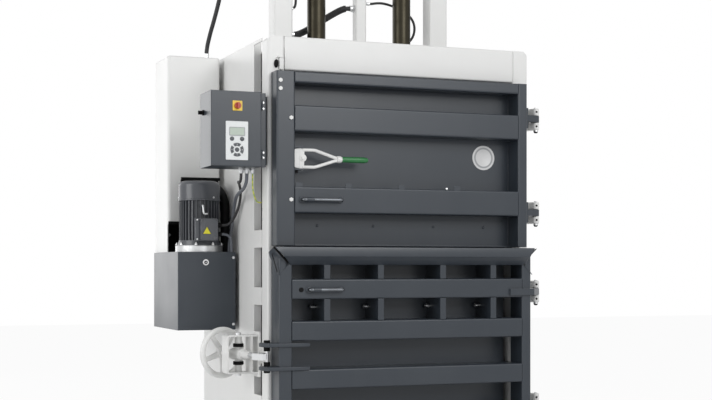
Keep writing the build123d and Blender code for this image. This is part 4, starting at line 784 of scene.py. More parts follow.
@dataclass
class Line:
    """One hose or cable: its route, thickness and finish."""

    name: str
    diameter: float
    length: float
    stiffness: Stiffness
    finish: Finish
    route: Route

    def build(self, with_pieces: tuple[bpy.types.Object, ...] = ()) -> bpy.types.Object:
        """Make the line as one smooth spline through its route's control points.

        Args:
            with_pieces: Separate pieces that belong to the line; not used.

        Returns:
            The curve object.
        """
        data = bpy.data.curves.new(self.name + "_line", "CURVE")
        data.dimensions = "3D"
        data.bevel_depth = self.diameter / 2
        data.bevel_resolution = 5
        data.resolution_u = 10
        data.use_fill_caps = True
        spline = data.splines.new("NURBS")
        spline.points.add(len(self.route) - 1)
        flat = np.hstack([np.asarray(self.route), np.ones((len(self.route), 1))])
        spline.points.foreach_set("co", flat.ravel())
        spline.order_u = 3
        spline.use_endpoint_u = True
        data.materials.append(coat(self.finish))
        piece = placed(self.name + "_line", data)
        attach(piece, "frame")
        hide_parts(self.name)
        LOG.info("laid %s: %.0f mm long", self.name, 1000 * self.length)
        return piece


HOSE_CROSSOVER_ROUTE: Route = [
    (-0.385, 0.020, 2.316), (-0.352, 0.020, 2.316), (-0.338, 0.050, 2.320), (-0.302, 0.092, 2.334),
    (-0.242, 0.114, 2.366), (-0.178, 0.100, 2.410), (-0.124, 0.058, 2.446), (-0.084, 0.020, 2.468),
    (-0.058, 0.008, 2.470), (-0.029, 0.008, 2.470)]
HOSE_FEED_ROUTE: Route = [
    (-0.385, 0.020, 2.450), (-0.358, 0.020, 2.450), (-0.344, 0.026, 2.472), (-0.340, 0.036, 2.520),
    (-0.344, 0.042, 2.600), (-0.339, 0.044, 2.700), (-0.345, 0.041, 2.810), (-0.340, 0.038, 2.920),
    (-0.344, 0.036, 3.020), (-0.344, 0.036, 3.100)]
HOSE_LOOP_ROUTE: Route = [
    (0.029, 0.000, 2.500), (0.062, 0.000, 2.500), (0.112, 0.040, 2.516), (0.172, 0.086, 2.528),
    (0.238, 0.106, 2.520), (0.296, 0.092, 2.494), (0.334, 0.066, 2.450), (0.344, 0.054, 2.396),
    (0.332, 0.064, 2.342), (0.290, 0.092, 2.302), (0.242, 0.110, 2.266), (0.210, 0.116, 2.218),
    (0.210, 0.116, 2.155)]
HOSE_SUPPLY_ROUTE: Route = [
    (-0.742, 0.320, 2.195), (-0.742, 0.320, 2.252), (-0.732, 0.290, 2.330), (-0.716, 0.246, 2.416),
    (-0.700, 0.196, 2.524), (-0.690, 0.150, 2.650), (-0.684, 0.110, 2.782), (-0.668, 0.076, 2.906),
    (-0.640, 0.044, 3.024), (-0.606, 0.018, 3.112), (-0.572, 0.018, 3.146), (-0.525, 0.018, 3.146)]
CONTROL_CONDUIT_ROUTE: Route = [
    (-0.772, -0.520, 1.552), (-0.772, -0.520, 1.520), (-0.774, -0.496, 1.494), (-0.768, -0.440, 1.480),
    (-0.756, -0.360, 1.476), (-0.742, -0.270, 1.470), (-0.728, -0.186, 1.452), (-0.718, -0.122, 1.412),
    (-0.714, -0.084, 1.352), (-0.718, -0.066, 1.290), (-0.726, -0.062, 1.240), (-0.726, -0.062, 1.190)]
MOTOR_CABLE_ROUTE: Route = [
    (-0.774, -0.091, 1.322), (-0.748, -0.091, 1.322), (-0.727, -0.102, 1.338), (-0.712, -0.132, 1.374),
    (-0.705, -0.174, 1.424), (-0.710, -0.216, 1.484), (-0.736, -0.276, 1.516), (-0.762, -0.346, 1.522),
    (-0.784, -0.420, 1.520), (-0.799, -0.484, 1.508), (-0.800, -0.520, 1.522), (-0.800, -0.520, 1.552)]
EARTH_WIRE_ROUTE: Route = [
    (-0.744, -0.520, 1.552), (-0.744, -0.520, 1.528), (-0.742, -0.512, 1.502), (-0.736, -0.500, 1.476),
    (-0.727, -0.488, 1.452), (-0.716, -0.478, 1.432), (-0.703, -0.472, 1.420), (-0.686, -0.472, 1.420)]


@dataclass
class Lines:
    """All hoses and cables, with the fittings at their ends."""

    guarded: str = "hose_crossover"
    crimped: tuple[str, ...] = ("hose_crossover", "hose_feed", "hose_loop", "hose_supply")
    lines: tuple[Line, ...] = (
        Line("hose_crossover", 0.024, 0.460, Stiffness.STIFF, HOSE, HOSE_CROSSOVER_ROUTE),
        Line("hose_feed", 0.013, 0.681, Stiffness.MEDIUM, HOSE, HOSE_FEED_ROUTE),
        Line("hose_loop", 0.013, 0.723, Stiffness.MEDIUM, HOSE, HOSE_LOOP_ROUTE),
        Line("hose_supply", 0.022, 1.075, Stiffness.STIFF, HOSE, HOSE_SUPPLY_ROUTE),
        Line("control_conduit", 0.016, 0.692, Stiffness.MEDIUM, CONDUIT, CONTROL_CONDUIT_ROUTE),
        Line("motor_cable", 0.013, 0.594, Stiffness.MEDIUM, HOSE, MOTOR_CABLE_ROUTE),
        Line("earth_wire", 0.007, 0.168, Stiffness.LIMP, EARTH, EARTH_WIRE_ROUTE),
    )

    def build(self) -> None:
        """Lay every line and screw its fittings on."""
        for line in self.lines:
            line.build((self._guard(line),) if line.name == self.guarded else ())
            if line.name in self.crimped:
                self._fittings(line)

    @staticmethod
    def _guard(line: Line) -> bpy.types.Object:
        """Ribbed guard sleeve over a hose, between its fittings.

        The sleeve is a tube along the hose's own spline, whose radius swings about its mean once each rib.

        Args:
            line: The hose inside it.

        Returns:
            The sleeve.
        """
        radius, sides, steps, swing = 0.0172, 20, 24, 0.045
        path = spline_points(line.route, steps)[steps + 2:-steps]
        sleeve = swept(path, disc_section(radius, sides))
        ribs = 1 + swing * np.cos(np.arange(len(path)) * QUARTER_TURN)
        count = len(path) * sides
        offset = sleeve.points[:count].reshape(len(path), sides, 3) - path[:, None]
        sleeve.points[:count] = (path[:, None] + offset * ribs[:, None, None]).reshape(-1, 3)
        return make_piece(line.name + "_guard", [sleeve], HOSE, "frame")

    @staticmethod
    def _fittings(line: Line) -> None:
        """Crimped ferrule, hexagon and seat ring at both ends of a hose."""
        longest, share_of_run = 0.045, 0.85
        radius = line.diameter / 2
        patches = []
        for end, inner in ((line.route[0], line.route[1]), (line.route[-1], line.route[-2])):
            direction = np.subtract(inner, end)
            run = float(np.linalg.norm(direction))
            reach = min(longest, share_of_run * run)
            ferrule = [(radius, reach * 0.36)]
            for index, place in enumerate(np.linspace(0.42, 0.97, 7)):
                ferrule.append((radius * (1.34 - 0.06 * (index % 2)), reach * float(place)))
            ferrule.append((radius * 1.05, reach))
            seat = tuple(end + direction * 0.3 * reach / run)
            patches.append(turned(ferrule, end, direction, 28))
            patches.append(hexagonal(radius * 3.0, reach * 0.3, end, direction))
            patches.append(hexagonal(radius * 2.6, reach * 0.12, seat, direction))
        make_piece(line.name + "_fittings", patches, ZINC, "frame")


@dataclass
class MainFrame:
    """White welded frame with its header, deck, portal, rods and rear sheets."""

    half_width: float = 0.686
    front: float = -0.570
    deck: float = 2.155
    crosshead: float = 3.098
    posts: tuple[tuple[float, float], ...] = ((-0.435, 0.100), (0.0, 0.058), (0.435, 0.100))
    catch: tuple[float, float] = (-0.645, 2.068)
    hinge: tuple[float, float] = (0.716, -0.602)
    hinge_z: tuple[float, ...] = (0.426, 0.992, 1.387, 1.857)

    def build(self) -> None:
        """Dress the frame's nodes and add its weld seams and small parts."""
        dress(WHITE, "base_frame", "corner_posts", "side_wall_left", "side_wall_right", "rear_wall",
              "header_beam", "top_frame", "portal", "hinge_lugs")
        dress(LINER, "chamber_liner")
        dress(ROD, "piston_rods")
        dress(ZINC, "frame_fasteners")
        self._welds()
        self._catch()
        self._post_screws()
        self._hinge_caps()

    def _welds(self) -> None:
        """Weld beads round the posts' feet on the deck and their tops under the crosshead."""
        patches = [weld_ring(x, 0.0, size, height)
                   for x, size in self.posts for height in (self.deck + 0.002, self.crosshead)]
        make_piece("portal_welds", patches, WHITE, "frame")

    def _catch(self) -> None:
        """Transport lock beside the header: black half-round buffer behind a folded white lug."""
        x, z = self.catch
        profile = [(0.013, 0.0), (0.013, 0.008), (0.010, 0.011), (0.0, 0.011)]
        buffer = head(profile, (0.0, 0.0, 0.0), FORWARD, 32)
        narrow_and_tall = np.array([0.75, 1.0, 1.5])
        buffer.points = buffer.points * narrow_and_tall + np.array([x, self.front, z])
        make_piece("header_buffer", [buffer], BLACK, "frame")
        lug = slab(soft_rectangle(0.020, 0.056, 0.004), 0.014, (x + 0.024, self.front, z))
        ear = slab(soft_rectangle(0.030, 0.006, 0.002), 0.016, (x + 0.020, self.front, z + 0.031))
        make_piece("header_lug", [lug, ear], WHITE, "frame", 0.0012)

    def _post_screws(self) -> None:
        """Two small screws on the left post's side, under the control box."""
        screw = head([(0.006, 0.0), (0.0055, 0.003), (0.0, 0.0042)], (-self.half_width, 0.0, 0.0), LEFTWARD)
        places = [(0.0, -0.498, z) for z in (1.386, 1.339)]
        make_piece("post_screws", [screw.at_each(places)], ZINC, "frame")

    def _hinge_caps(self) -> None:
        """Black screw dots on the frame's hinge knuckles, and a black tip under each hinge."""
        x, y = self.hinge
        knuckle_half, knuckle_gap = 0.038, 0.016
        tip = head([(0.0105, 0.0), (0.0105, 0.010), (0.007, 0.015), (0.0, 0.016)], (x, y, 0.0), DOWNWARD, 28)
        under = knuckle_gap + knuckle_half
        make_piece("hinge_tips", [tip.at_each([(0.0, 0.0, z - under) for z in self.hinge_z])], BLACK, "frame")
        dot = head([(0.0055, 0.0), (0.0, 0.0018)], (x - 0.004, y - 0.0165, 0.0), (-0.24, -0.97, 0.0))
        places = [(0.0, 0.0, z + shift) for z in self.hinge_z for shift in (-0.036, 0.036)]
        make_piece("hinge_dots", [dot.at_each(places)], BLACK, "frame")


def weld_ring(x: float, y: float, size: float, height: float) -> Patch:
    """Bead round a square post: a small round section that swells and shrinks along four straight sides.

    Args:
        x: Post centre across.
        y: Post centre in depth.
        size: Post width.
        height: Height of the bead.

    Returns:
        The closed ring.
    """
    clearance, corner, bead, swell, ripples = 0.003, 0.010, 0.0032, 0.16, 1400
    outline = soft_rectangle(size + clearance, size + clearance, corner, 4)
    closed = np.vstack([outline, outline[:1]])
    steps = np.concatenate([[0], np.cumsum(np.linalg.norm(np.diff(closed, axis=0), axis=1))])
    along = np.linspace(0, steps[-1], 180, endpoint=False)
    ring = np.stack([np.interp(along, steps, closed[:, 0]), np.interp(along, steps, closed[:, 1])], axis=1)
    out = ring / np.linalg.norm(ring, axis=1, keepdims=True)
    angle = spokes(8)
    thick = bead * (1 + swell * np.sin(along * ripples))
    radial = thick[:, None] * np.cos(angle)
    lift = thick[:, None] * np.sin(angle)
    flat = ring[:, None, :] + out[:, None, :] * radial[:, :, None]
    points = np.dstack([flat[..., 0] + x, flat[..., 1] + y, lift + height])
    return gridded(points, wrap_rows=True, wrap_columns=True)


def grab_bar(name: str, foot: Point, body: str, node: str, reach: float = 0.160) -> None:
    """Bent round bar between two feet.

    The bar's standoff follows a rounded step up, a level run and a step down, smoothed by a running mean.

    Args:
        name: Name of the piece.
        foot: Middle of the left foot on the door's face.
        body: The door's body.
        node: The frame node that the bar stands for.
        reach: Distance between the feet.
    """
    x, y, z = foot
    standoff, radius, smoothing = 0.030, 0.009, 11
    turns = [0.0, standoff, standoff + reach, 2 * standoff + reach]
    run = np.linspace(0.0, turns[-1], 110)
    along = smoothed(np.interp(run, turns, [0.0, 0.0, reach, reach]), smoothing)
    stand = smoothed(np.interp(run, turns, [0.0, standoff, standoff, 0.0]), smoothing)
    stand[0], stand[-1] = 0.0, 0.0
    path = np.stack([x + along, y - stand, np.full_like(run, z)], axis=1)
    make_piece(name, [swept(path, disc_section(radius, 18))], HANDLE, body, 0.0, (node,))
    foot_profile = [(0.015, 0.0), (0.015, 0.004), (0.0095, 0.008), (0.0, 0.008)]
    feet = [head(foot_profile, (x + shift, y, z), FORWARD, 32) for shift in (0.0, reach)]
    feet.append(turned(tube(0.0088, 0.0108, 0.036), (x + 0.014, y - standoff, z), RIGHTWARD, 28))
    make_piece(name + "_feet", feet, ANTHRACITE, body, 0.0, (node,))


@dataclass
class UpperDoor:
    """Feed door with its ribs, latch lever, handle, bolts and bare round plate."""

    front: float = -0.652
    skin: float = -0.543
    badge: Point = (0.452, -0.543, 1.660)
    badge_radius: float = 0.061
    latch: Point = (-0.548, -0.630, 1.622)
    fork_start: float = 0.012
    fork_length: float = 0.198
    fork_straight: float = 0.074
    fork_half: float = 0.040
    fork_neck: float = 0.006
    fork_rod: float = 0.0078

    def build(self) -> None:
        """Dress the door and add its small parts."""
        dress(ANTHRACITE, "upper_door_skin", "upper_door_frame")
        dress(WHITE, "upper_door_bolts")
        self._latch()
        self._latch_bolts()
        self._grip()
        grab_bar("upper_grab_bar", (-0.545, self.front, 1.428), "upper_door", "upper_door_handle", 0.190)
        self._badge()
        self._tabs()
        self._rivets()

    def _badge(self) -> None:
        """Bare pale disc with a plain raised rim."""
        rim = self.badge_radius
        profile = [(rim, 0.0), (rim, 0.0012), (rim - 0.002, 0.0016), (rim - 0.009, 0.0016),
                   (rim - 0.010, 0.0010), (0.0, 0.0010)]
        make_piece("round_plate", [head(profile, self.badge, FORWARD, 64)], PLATE_PALE, "upper_door")
        ring = [(rim - 0.0095, 0.0009), (rim - 0.0095, 0.0014), (rim - 0.018, 0.0014), (rim - 0.018, 0.0009)]
        make_piece("round_plate_band", [turned(ring, self.badge, FORWARD, 64)], PLATE_GREY, "upper_door")

    def _grip(self) -> None:
        """Green grip with a thicker hand end and a flared collar."""
        x, y, z = self.latch
        profile = [(0.0125, 0.0), (0.0135, 0.002), (0.0130, 0.006), (0.0130, 0.020), (0.0138, 0.070),
                   (0.0138, 0.108), (0.0126, 0.122), (0.0090, 0.133), (0.0, 0.137)]
        grip = head(profile, (x + self.fork_length + 0.010, y, z), RIGHTWARD, 40)
        make_piece("latch_hand_grip", [grip], GRIP, "latch_lever", 0.0, ("latch_grip",))

    def _fork_rods(self) -> list[Patch]:
        """Two rods, each level at first and then straight to the collar, with its corners smoothed."""
        x, y, z = self.latch
        along = np.linspace(self.fork_start, self.fork_length, 90)
        slanted = self.fork_length - 0.018 - self.fork_straight
        slope = np.clip((along - self.fork_straight) / slanted, 0.0, 1.0)
        spread = smoothed(self.fork_half + (self.fork_neck - self.fork_half) * slope, 9)
        rods = []
        for sign in (-1, 1):
            path = np.stack([x + along, np.full_like(along, y), z + sign * spread], axis=1)
            rods.append(swept(path, disc_section(self.fork_rod, 14)))
        return rods

    def _latch(self) -> None:
        """Latch lever: two rods, a cam plate with a round nose and a hooked foot, a collar and a pivot."""
        x, y, z = self.latch
        angle = np.linspace(-QUARTER_TURN, QUARTER_TURN, 24)
        nose = np.array([self.fork_start, 0.0]) + bearings(angle) * (0.034, 0.046)
        cam = np.vstack([[(-0.020, -0.034), (-0.010, -0.058), (0.002, -0.046)], nose, [(-0.022, 0.046)]])
        plate = slab(cam * (-1.0, 1.0), 0.010, (x, y + 0.004, z))
        profile = [(0.012, 0.0), (0.016, 0.003), (0.016, 0.019), (0.013, 0.022), (0.013, 0.028), (0.0, 0.028)]
        collar = head(profile, (x + self.fork_length - 0.014, y, z), RIGHTWARD, 36)
        pivot = head([(0.007, 0.0), (0.007, 0.104), (0.0, 0.104)], (x, y, z - 0.052), UPWARD, 28)
        patches = [*self._fork_rods(), plate, collar, pivot]
        make_piece("latch_lever", patches, WHITE, "latch_lever", 0.0014, ("latch_fork",))

    def _latch_bolts(self) -> None:
        """Black slab that paints the shade of the notch under the cam plate, the cam plate's bolt, and the
        bolt on the rib under it.
        """
        x, y, z = self.latch
        # Black slab at the cam's lower left, painted shade of a notch.
        notch_shade = slab(soft_rectangle(0.012, 0.018, 0.002), 0.006, (x - 0.014, y + 0.008, z - 0.060))
        make_piece("latch_notch_shade", [notch_shade], BLACK, "latch_lever")
        bolt = head([(0.017, 0.0), (0.017, 0.003), (0.009, 0.004), (0.009, 0.010), (0.0, 0.011)],
                    (x + 0.014, y - 0.006, z + 0.002), FORWARD, 32)
        make_piece("latch_cam_bolt", [bolt], WHITE, "latch_lever", 0.0006)
        pip = head([(0.006, 0.0), (0.005, 0.004), (0.0, 0.005)], (0.198, self.front, 1.494), FORWARD)
        make_piece("rib_bolt", [pip], ZINC, "upper_door")

    def _tabs(self) -> None:
        """Small folded tabs on the lower rib's top edge."""
        tab = slab(soft_rectangle(0.034, 0.022, 0.003), 0.004, (0.0, self.front + 0.006, 1.497))
        places = [(x, 0.0, 0.0) for x in (-0.557, -0.310, -0.038, 0.256)]
        make_piece("rib_tabs", [tab.at_each(places)], ANTHRACITE, "upper_door", 0.0006)

    def _rivets(self) -> None:
        """Domed rivets that hold the skin to its stiffeners."""
        profile = [(0.007, 0.0), (0.0065, 0.002), (0.004, 0.0036), (0.0, 0.0042)]
        dome = head(profile, (0.0, self.skin, 0.0), FORWARD)
        places = [(x, 0.0, 1.312) for x in (-0.431, -0.143, 0.176, 0.450)]
        make_piece("skin_rivets", [dome.at_each(places)], ANTHRACITE, "upper_door")


@dataclass
class LowerDoor:
    """Bale door with its windows, claws, lip and lock arms."""

    front: float = -0.690
    left: float = -0.668
    right: float = 0.641
    back: float = -0.571
    lip_top: float = 1.208
    lip_low: float = 1.128
    lip_out: float = -0.732
    lip_tip: float = -0.705
    lip_foot: float = -0.616
    right_slant: float = 0.046
    claw_x: tuple[float, ...] = (-0.433, -0.162, 0.162, 0.433)
    lug_z: tuple[float, float] = (0.6455, 0.7545)
    lug_half: float = 0.009
    lock_pin: tuple[float, float] = (-0.7086, -0.6298)

    def build(self) -> None:
        """Dress the door and add its handle, springs, lip and lock arms."""
        dress(ANTHRACITE, "lower_door_frame", "lower_door_skin")
        dress(LINER, "lower_door_liner")
        dress(ZINC, "lower_door_pins", *[f"retaining_claw_{index}" for index in range(1, 5)])
        grab_bar("lower_grab_bar", (-0.525, self.front, 1.009), "lower_door", "lower_door_handle")
        # Black disc that paints the shade in the hole of the lower rail.
        hole_shade = head([(0.011, 0.0), (0.011, 0.003), (0.0, 0.004)], (-0.561, self.front, 1.009), FORWARD, 28)
        make_piece("lower_rail_hole_shade", [hole_shade], BLACK, "lower_door")
        self._springs()
        self._lip()
        self._mitre_shades()
        self._arms()
        self._buffers()

    def _springs(self) -> None:
        """Coil spring on each claw pin: a round wire on a helix round the pin's axis."""
        turns, pitch, radius, wire = 3, 0.0032, 0.0095, 0.0012
        angle = np.linspace(0, FULL_TURN * turns, 24 * turns)
        helix = np.stack([angle * pitch / FULL_TURN, radius * np.cos(angle), radius * np.sin(angle)], axis=1)
        coil = swept(helix, disc_section(wire, 8), RIGHTWARD)
        places = [(x - 0.0345, -0.555, 0.925) for x in self.claw_x]
        make_piece("claw_springs", [coil.at_each(places)], ZINC, "lower_door")

    def _lip(self) -> None:
        """Folded lip along the door's top, with its ends cut on a slant, and a wing at each side.

        The lip is one section carried from end to end; each of its points stops where the slanted cut crosses
        its height.
        """
        face, out, low, top = self.front - 0.0005, self.lip_out, self.lip_low, self.lip_top
        section = np.array([
            (face, low - 0.004), (face - 0.004, low - 0.002), (out + 0.010, 1.157), (out + 0.001, 1.164),
            (out, 1.200), (out + 0.002, top - 0.001), (out + 0.006, top), (out + 0.024, top),
            (out + 0.024, top - 0.004), (out + 0.005, top - 0.005), (out + 0.005, 1.166),
            (out + 0.014, 1.159), (face, low + 0.003)])
        rise = (section[:, 1] - low) / (top - low)
        left = self.lip_foot + (self.lip_tip - self.lip_foot) * rise
        right = self.right - self.right_slant * (1 - rise)
        across_door = straight(left, right, 40)
        depth, height = (np.broadcast_to(column, across_door.shape) for column in section.T)
        lip = lofted(np.dstack([across_door, depth, height]))
        wings = [self._wing(-1, self.left, 0.037), self._wing(1, self.right, 0.010)]
        make_piece("feed_lip_folded", [lip, *wings], ANTHRACITE, "lower_door", 0.0012, ("feed_lip",))

    def _mitre_shades(self) -> None:
        """Black strips in the lip's left corner that paint the shade in the gap along the mitre and in the
        crease of the wing.
        """
        top = (self.lip_tip - 0.002, self.lip_out - 0.0005, self.lip_top - 0.002)
        low = (self.lip_foot - 0.010, self.front - 0.006, self.lip_low + 0.006)
        mitre = swept(straight(top, low, 12), strip_section(0.005, 0.001), FORWARD)
        crease = straight((-0.692, -0.655, 1.176), (-0.6775, -0.688, 1.092), 12)
        inner = swept(crease, strip_section(0.004, 0.001), LEFTWARD)
        make_piece("lip_mitre_shade", [mitre, inner], BLACK, "lower_door")

    def _wing(self, side: int, edge: float, flare: float) -> Patch:
        """Flared side sheet of the lip between its foot line and its top line, with its thickness outwards.

        Args:
            side: Minus one on the left, one on the right.
            edge: The door's edge across.
            flare: How far its top front corner stands out past that edge.

        Returns:
            The closed sheet.
        """
        rows, columns, thickness = 5, 14, 0.004
        foot = straight((edge - side * 0.050, self.front - 0.001, self.lip_low + 0.002),
                        (edge + side * 0.003, self.front - 0.002, 1.076), columns)
        crown = straight((edge + side * flare, self.lip_out + 0.003, self.lip_top - 0.002),
                         (edge + side * 0.006, -0.548, 1.182), columns)
        sheet = foot + (crown - foot) * np.linspace(0.0, 1.0, rows)[:, None, None]
        closed = joined([gridded(sheet), gridded(sheet + np.array([side * thickness, 0.0, 0.0]))])
        index = np.arange(rows * columns).reshape(rows, columns)
        rim = np.concatenate([index[0], index[1:, -1], index[-1, -2::-1], index[-2:0:-1, 0]])
        following = np.roll(rim, -1)
        closed.faces += np.stack([rim, following, following + index.size, rim + index.size], axis=1).tolist()
        return closed

    def _arms(self) -> None:
        """Two thick tapered arms on the left stile, which hold the lock pin."""
        pin_y = self.lock_pin[1]
        front = self.front - 0.010
        outline = np.array([
            (-0.744, pin_y - 0.010), (-0.738, pin_y - 0.026), (-0.720, front + 0.004), (-0.700, front),
            (-0.600, front - 0.002), (-0.560, front - 0.002), (-0.530, front + 0.003),
            (-0.516, self.front - 0.001), (self.left, self.front), (self.left, self.back - 0.014),
            (-0.735, pin_y + 0.028), (-0.744, pin_y + 0.012)])
        arms = []
        for z in self.lug_z:
            levels = (np.full(len(outline), z - self.lug_half), np.full(len(outline), z + self.lug_half))
            arms.append(lofted(np.stack([np.column_stack([outline, level]) for level in levels])))
        make_piece("lock_arms", arms, ANTHRACITE, "lower_door", 0.005, ("door_lugs",))

    def _buffers(self) -> None:
        """Dark buffers and sleeves round the lock pin, outside and inside the arms."""
        x, y = self.lock_pin
        low, high = self.lug_z
        profile = [(0.015, 0.0), (0.015, 0.010), (0.011, 0.013), (0.0, 0.013)]
        sleeve = tube(0.0095, 0.0150, 0.020)
        inside = self.lug_half + 0.0005
        buffers = [
            head(profile, (x, y, low - self.lug_half), DOWNWARD, 28),
            head(profile, (x, y, high + self.lug_half), UPWARD, 28),
            turned(sleeve, (x, y, low + inside), UPWARD, 28),
            turned(sleeve, (x, y, high - inside), DOWNWARD, 28)]
        make_piece("lock_pin_buffers", buffers, BLACK, "lower_door")


@dataclass
class DoorLock:
    """Handwheel lock on the left side: bracket, trunnion nut, spindle and wheel."""

    centre: Point = (-0.778, -0.400, 0.700)
    slant: float = 16.8
    wheel_reach: float = 0.141
    pitch: float = 0.006

    def axis(self) -> np.ndarray:
        """Unit vector along the spindle, towards the door pin."""
        angle = math.radians(self.slant)
        return np.array([math.sin(angle), -math.cos(angle), 0.0])

    def build(self) -> None:
        """Dress the lock and add its wheel nut, thread and collars."""
        dress(WHITE, "lock_bracket", "lock_nut", "handwheel")
        dress(ZINC, "lock_spindle")
        self._wheel_nut()
        self._thread()
        self._collars()

    def _wheel_nut(self) -> None:
        """Washer and nut that hold the wheel on the spindle."""
        axis = self.axis()
        face = np.asarray(self.centre) - axis * (self.wheel_reach + 0.014)
        washer = turned(tube(0.0122, 0.022, 0.003), face, -axis, 40)
        nut = hexagonal(0.036, 0.011, face - axis * 0.003, -axis, 0.0121)
        make_piece("wheel_nut", [washer, nut], ZINC, "handwheel", 0.0005)

    def _thread(self) -> None:
        """Thread on the spindle: a thin ridge on a helix between the nut and the wheel."""
        near, far, radius, ridge_radius = 0.044, 0.118, 0.0122, 0.0014
        side, up, along = across(-self.axis())
        turns = (far - near) / self.pitch
        angle = np.linspace(0.0, FULL_TURN * turns, int(24 * turns))[:, None]
        reach = near + angle * self.pitch / FULL_TURN
        path = np.asarray(self.centre) + along * reach + radius * (np.cos(angle) * side + np.sin(angle) * up)
        ridge = swept(path, disc_section(ridge_radius, 6), -self.axis())
        make_piece("spindle_thread", [ridge], ZINC, "lock_screw")

    def _collars(self) -> None:
        """Dark collars on the nut's upright pivots."""
        x, y, z = self.centre
        profile = [(0.0172, 0.0), (0.024, 0.0), (0.0255, 0.002), (0.0255, 0.014), (0.023, 0.017),
                   (0.0172, 0.017), (0.0172, 0.0)]
        collars = [turned(profile, (x, y, z + sign * 0.034), (0, 0, sign), 36) for sign in (-1, 1)]
        make_piece("pivot_collars", collars, BLACK, "lock_nut")


@dataclass
class ControlBox:
    """Control box with its lid, switch, keypad and locks."""

    lid_front: float = -0.612
    panel_front: float = -0.617
    panel_centre: tuple[float, float] = (-0.848, 1.696)
    display_z: float = 1.738
    cross_z: float = 1.654
    pair_z: float = 1.704

    def build(self) -> None:
        """Dress the box and add its keypad, glands, hook and screws."""
        dress(ANTHRACITE, "control_box", "control_door")
        dress(YELLOW, "switch_plate")
        dress(RED, "switch_knob")
        dress(SCREEN, "keypad_display")
        dress(BLACK, "side_lock")
        self._panel()
        self._bezel()
        self._keys()
        self._glands()
        self._hook()
        self._screws()

    def _panel(self) -> None:
        """Pale keypad plate, and the dark strip that holds the box to the post."""
        x, z = self.panel_centre
        thickness = self.lid_front - self.panel_front
        plate = slab(soft_rectangle(0.106, 0.178, 0.0035), thickness, (x, self.lid_front, z))
        make_piece("keypad_plate", [plate], PANEL, "control_lid", 0.0006, ("keypad_panel",))
        strip = slab(soft_rectangle(0.026, 0.343, 0.002), 0.022, (-0.7145, -0.569, 1.7515))
        make_piece("post_strip", [strip], ANTHRACITE, "frame", 0.001)

    def _bezel(self) -> None:
        """Thin grey frame round the display."""
        outer = soft_rectangle(0.074, 0.040, 0.003)
        inner = soft_rectangle(0.0685, 0.0345, 0.003)
        side, up, along = across(FORWARD)
        base = np.array([self.panel_centre[0], self.panel_front, self.display_z])
        rows = [(outer, 0.0), (outer, 0.0018), (inner, 0.0018), (inner, 0.0)]
        points = [line[:, :1] * side + line[:, 1:] * up + base + along * rise for line, rise in rows]
        bezel = gridded(np.stack(points), wrap_rows=True, wrap_columns=True)
        make_piece("display_bezel", [bezel], PLATE_GREY, "control_lid")

    def _keys(self) -> None:
        """Membrane keys: four arc keys with pale marks round a middle key, and two keys under the display.

        An arc key is the part of a ring between two radii and two angles, raised by its thickness.
        """
        x = self.panel_centre[0]
        inner, outer, half_angle, thickness = 0.0175, 0.0315, 0.62, 0.0018
        patches = []
        for quarter in range(4):
            arc = bearings(np.linspace(-half_angle, half_angle, 14) + quarter * QUARTER_TURN)
            outline = np.vstack([outer * arc, inner * arc[::-1]])
            patches.append(slab(outline, thickness, (x, self.panel_front, self.cross_z)))
        dome = [(0.0105, 0.0), (0.0100, 0.0014), (0.006, 0.0022), (0.0, 0.0024)]
        for shift, z in ((0.0, self.cross_z), (-0.024, self.pair_z), (0.024, self.pair_z)):
            patches.append(head(dome, (x + shift, self.panel_front, z), FORWARD, 32))
        make_piece("membrane_keys", patches, KEY, "control_lid", 0.0004, ("keypad_keys",))
        mark = head([(0.0032, 0.0), (0.0, 0.0005)], (0.0, self.panel_front - 0.0016, 0.0), FORWARD, 16)
        spots = [(x + across_key, 0.0, self.cross_z + up_key)
                 for across_key, up_key in (inner + outer) / 2 * bearings(spokes(4))]
        make_piece("key_marks", [mark.at_each(spots)], PLATE_PALE, "control_lid")

    def _glands(self) -> None:
        """Cable glands under the box and beside the motor's terminal box."""
        profile = [(0.013, 0.0), (0.013, 0.003), (0.0095, 0.003), (0.0095, 0.005), (0.0122, 0.006),
                   (0.0122, 0.019), (0.0100, 0.024), (0.0088, 0.026), (0.0, 0.026)]
        exits, heights = (-0.800, -0.772, -0.744), (1.278, 1.322)
        under = [head(profile, (x, -0.520, 1.578), DOWNWARD, 24) for x in exits]
        under += [hexagonal(0.024, 0.007, (x, -0.520, 1.574), DOWNWARD) for x in exits]
        make_piece("box_glands", under, ALUMINIUM, "frame", 0.0004, ("cable_fittings",))
        beside = [head(profile, (-0.800, -0.091, z), RIGHTWARD, 24) for z in heights]
        beside += [hexagonal(0.025, 0.008, (-0.796, -0.091, z), RIGHTWARD) for z in heights]
        make_piece("motor_glands", beside, BLACK, "frame", 0.0004)

    def _hook(self) -> None:
        """Lifting hook on the motor's cowl: a round bar, whose coordinates follow smoothed broken lines."""
        share = np.linspace(0.0, 1.0, 60)
        slide = np.interp(share, [0.0, 0.25, 0.62, 1.0], [0.0, 0.0, 0.003, 0.024])
        stand = np.interp(share, [0.0, 0.25, 1.0], [0.0, 0.018, 0.018])
        drop = np.interp(share, [0.0, 0.25, 0.70, 1.0], [0.0, 0.0, 0.044, 0.040])
        lines = (-0.867 + slide, -0.068 - stand, 1.420 - drop)
        path = np.stack([smoothed(line, 9) for line in lines], axis=1)
        make_piece("lifting_hook", [swept(path, disc_section(0.0048, 14), (1.0, 0.4, 0.2))], ZINC, "frame")

    def _screws(self) -> None:
        """Bright cap screws of the lid's hinge strip, at its top and foot."""
        screw = head([(0.0055, 0.0), (0.005, 0.003), (0.0, 0.004)], (-0.714, -0.592, 0.0), FORWARD)
        places = [(0.0, 0.0, z) for z in (1.878, 1.850, 1.645, 1.622)]
        make_piece("lid_screws", [screw.at_each(places)], ZINC, "frame")


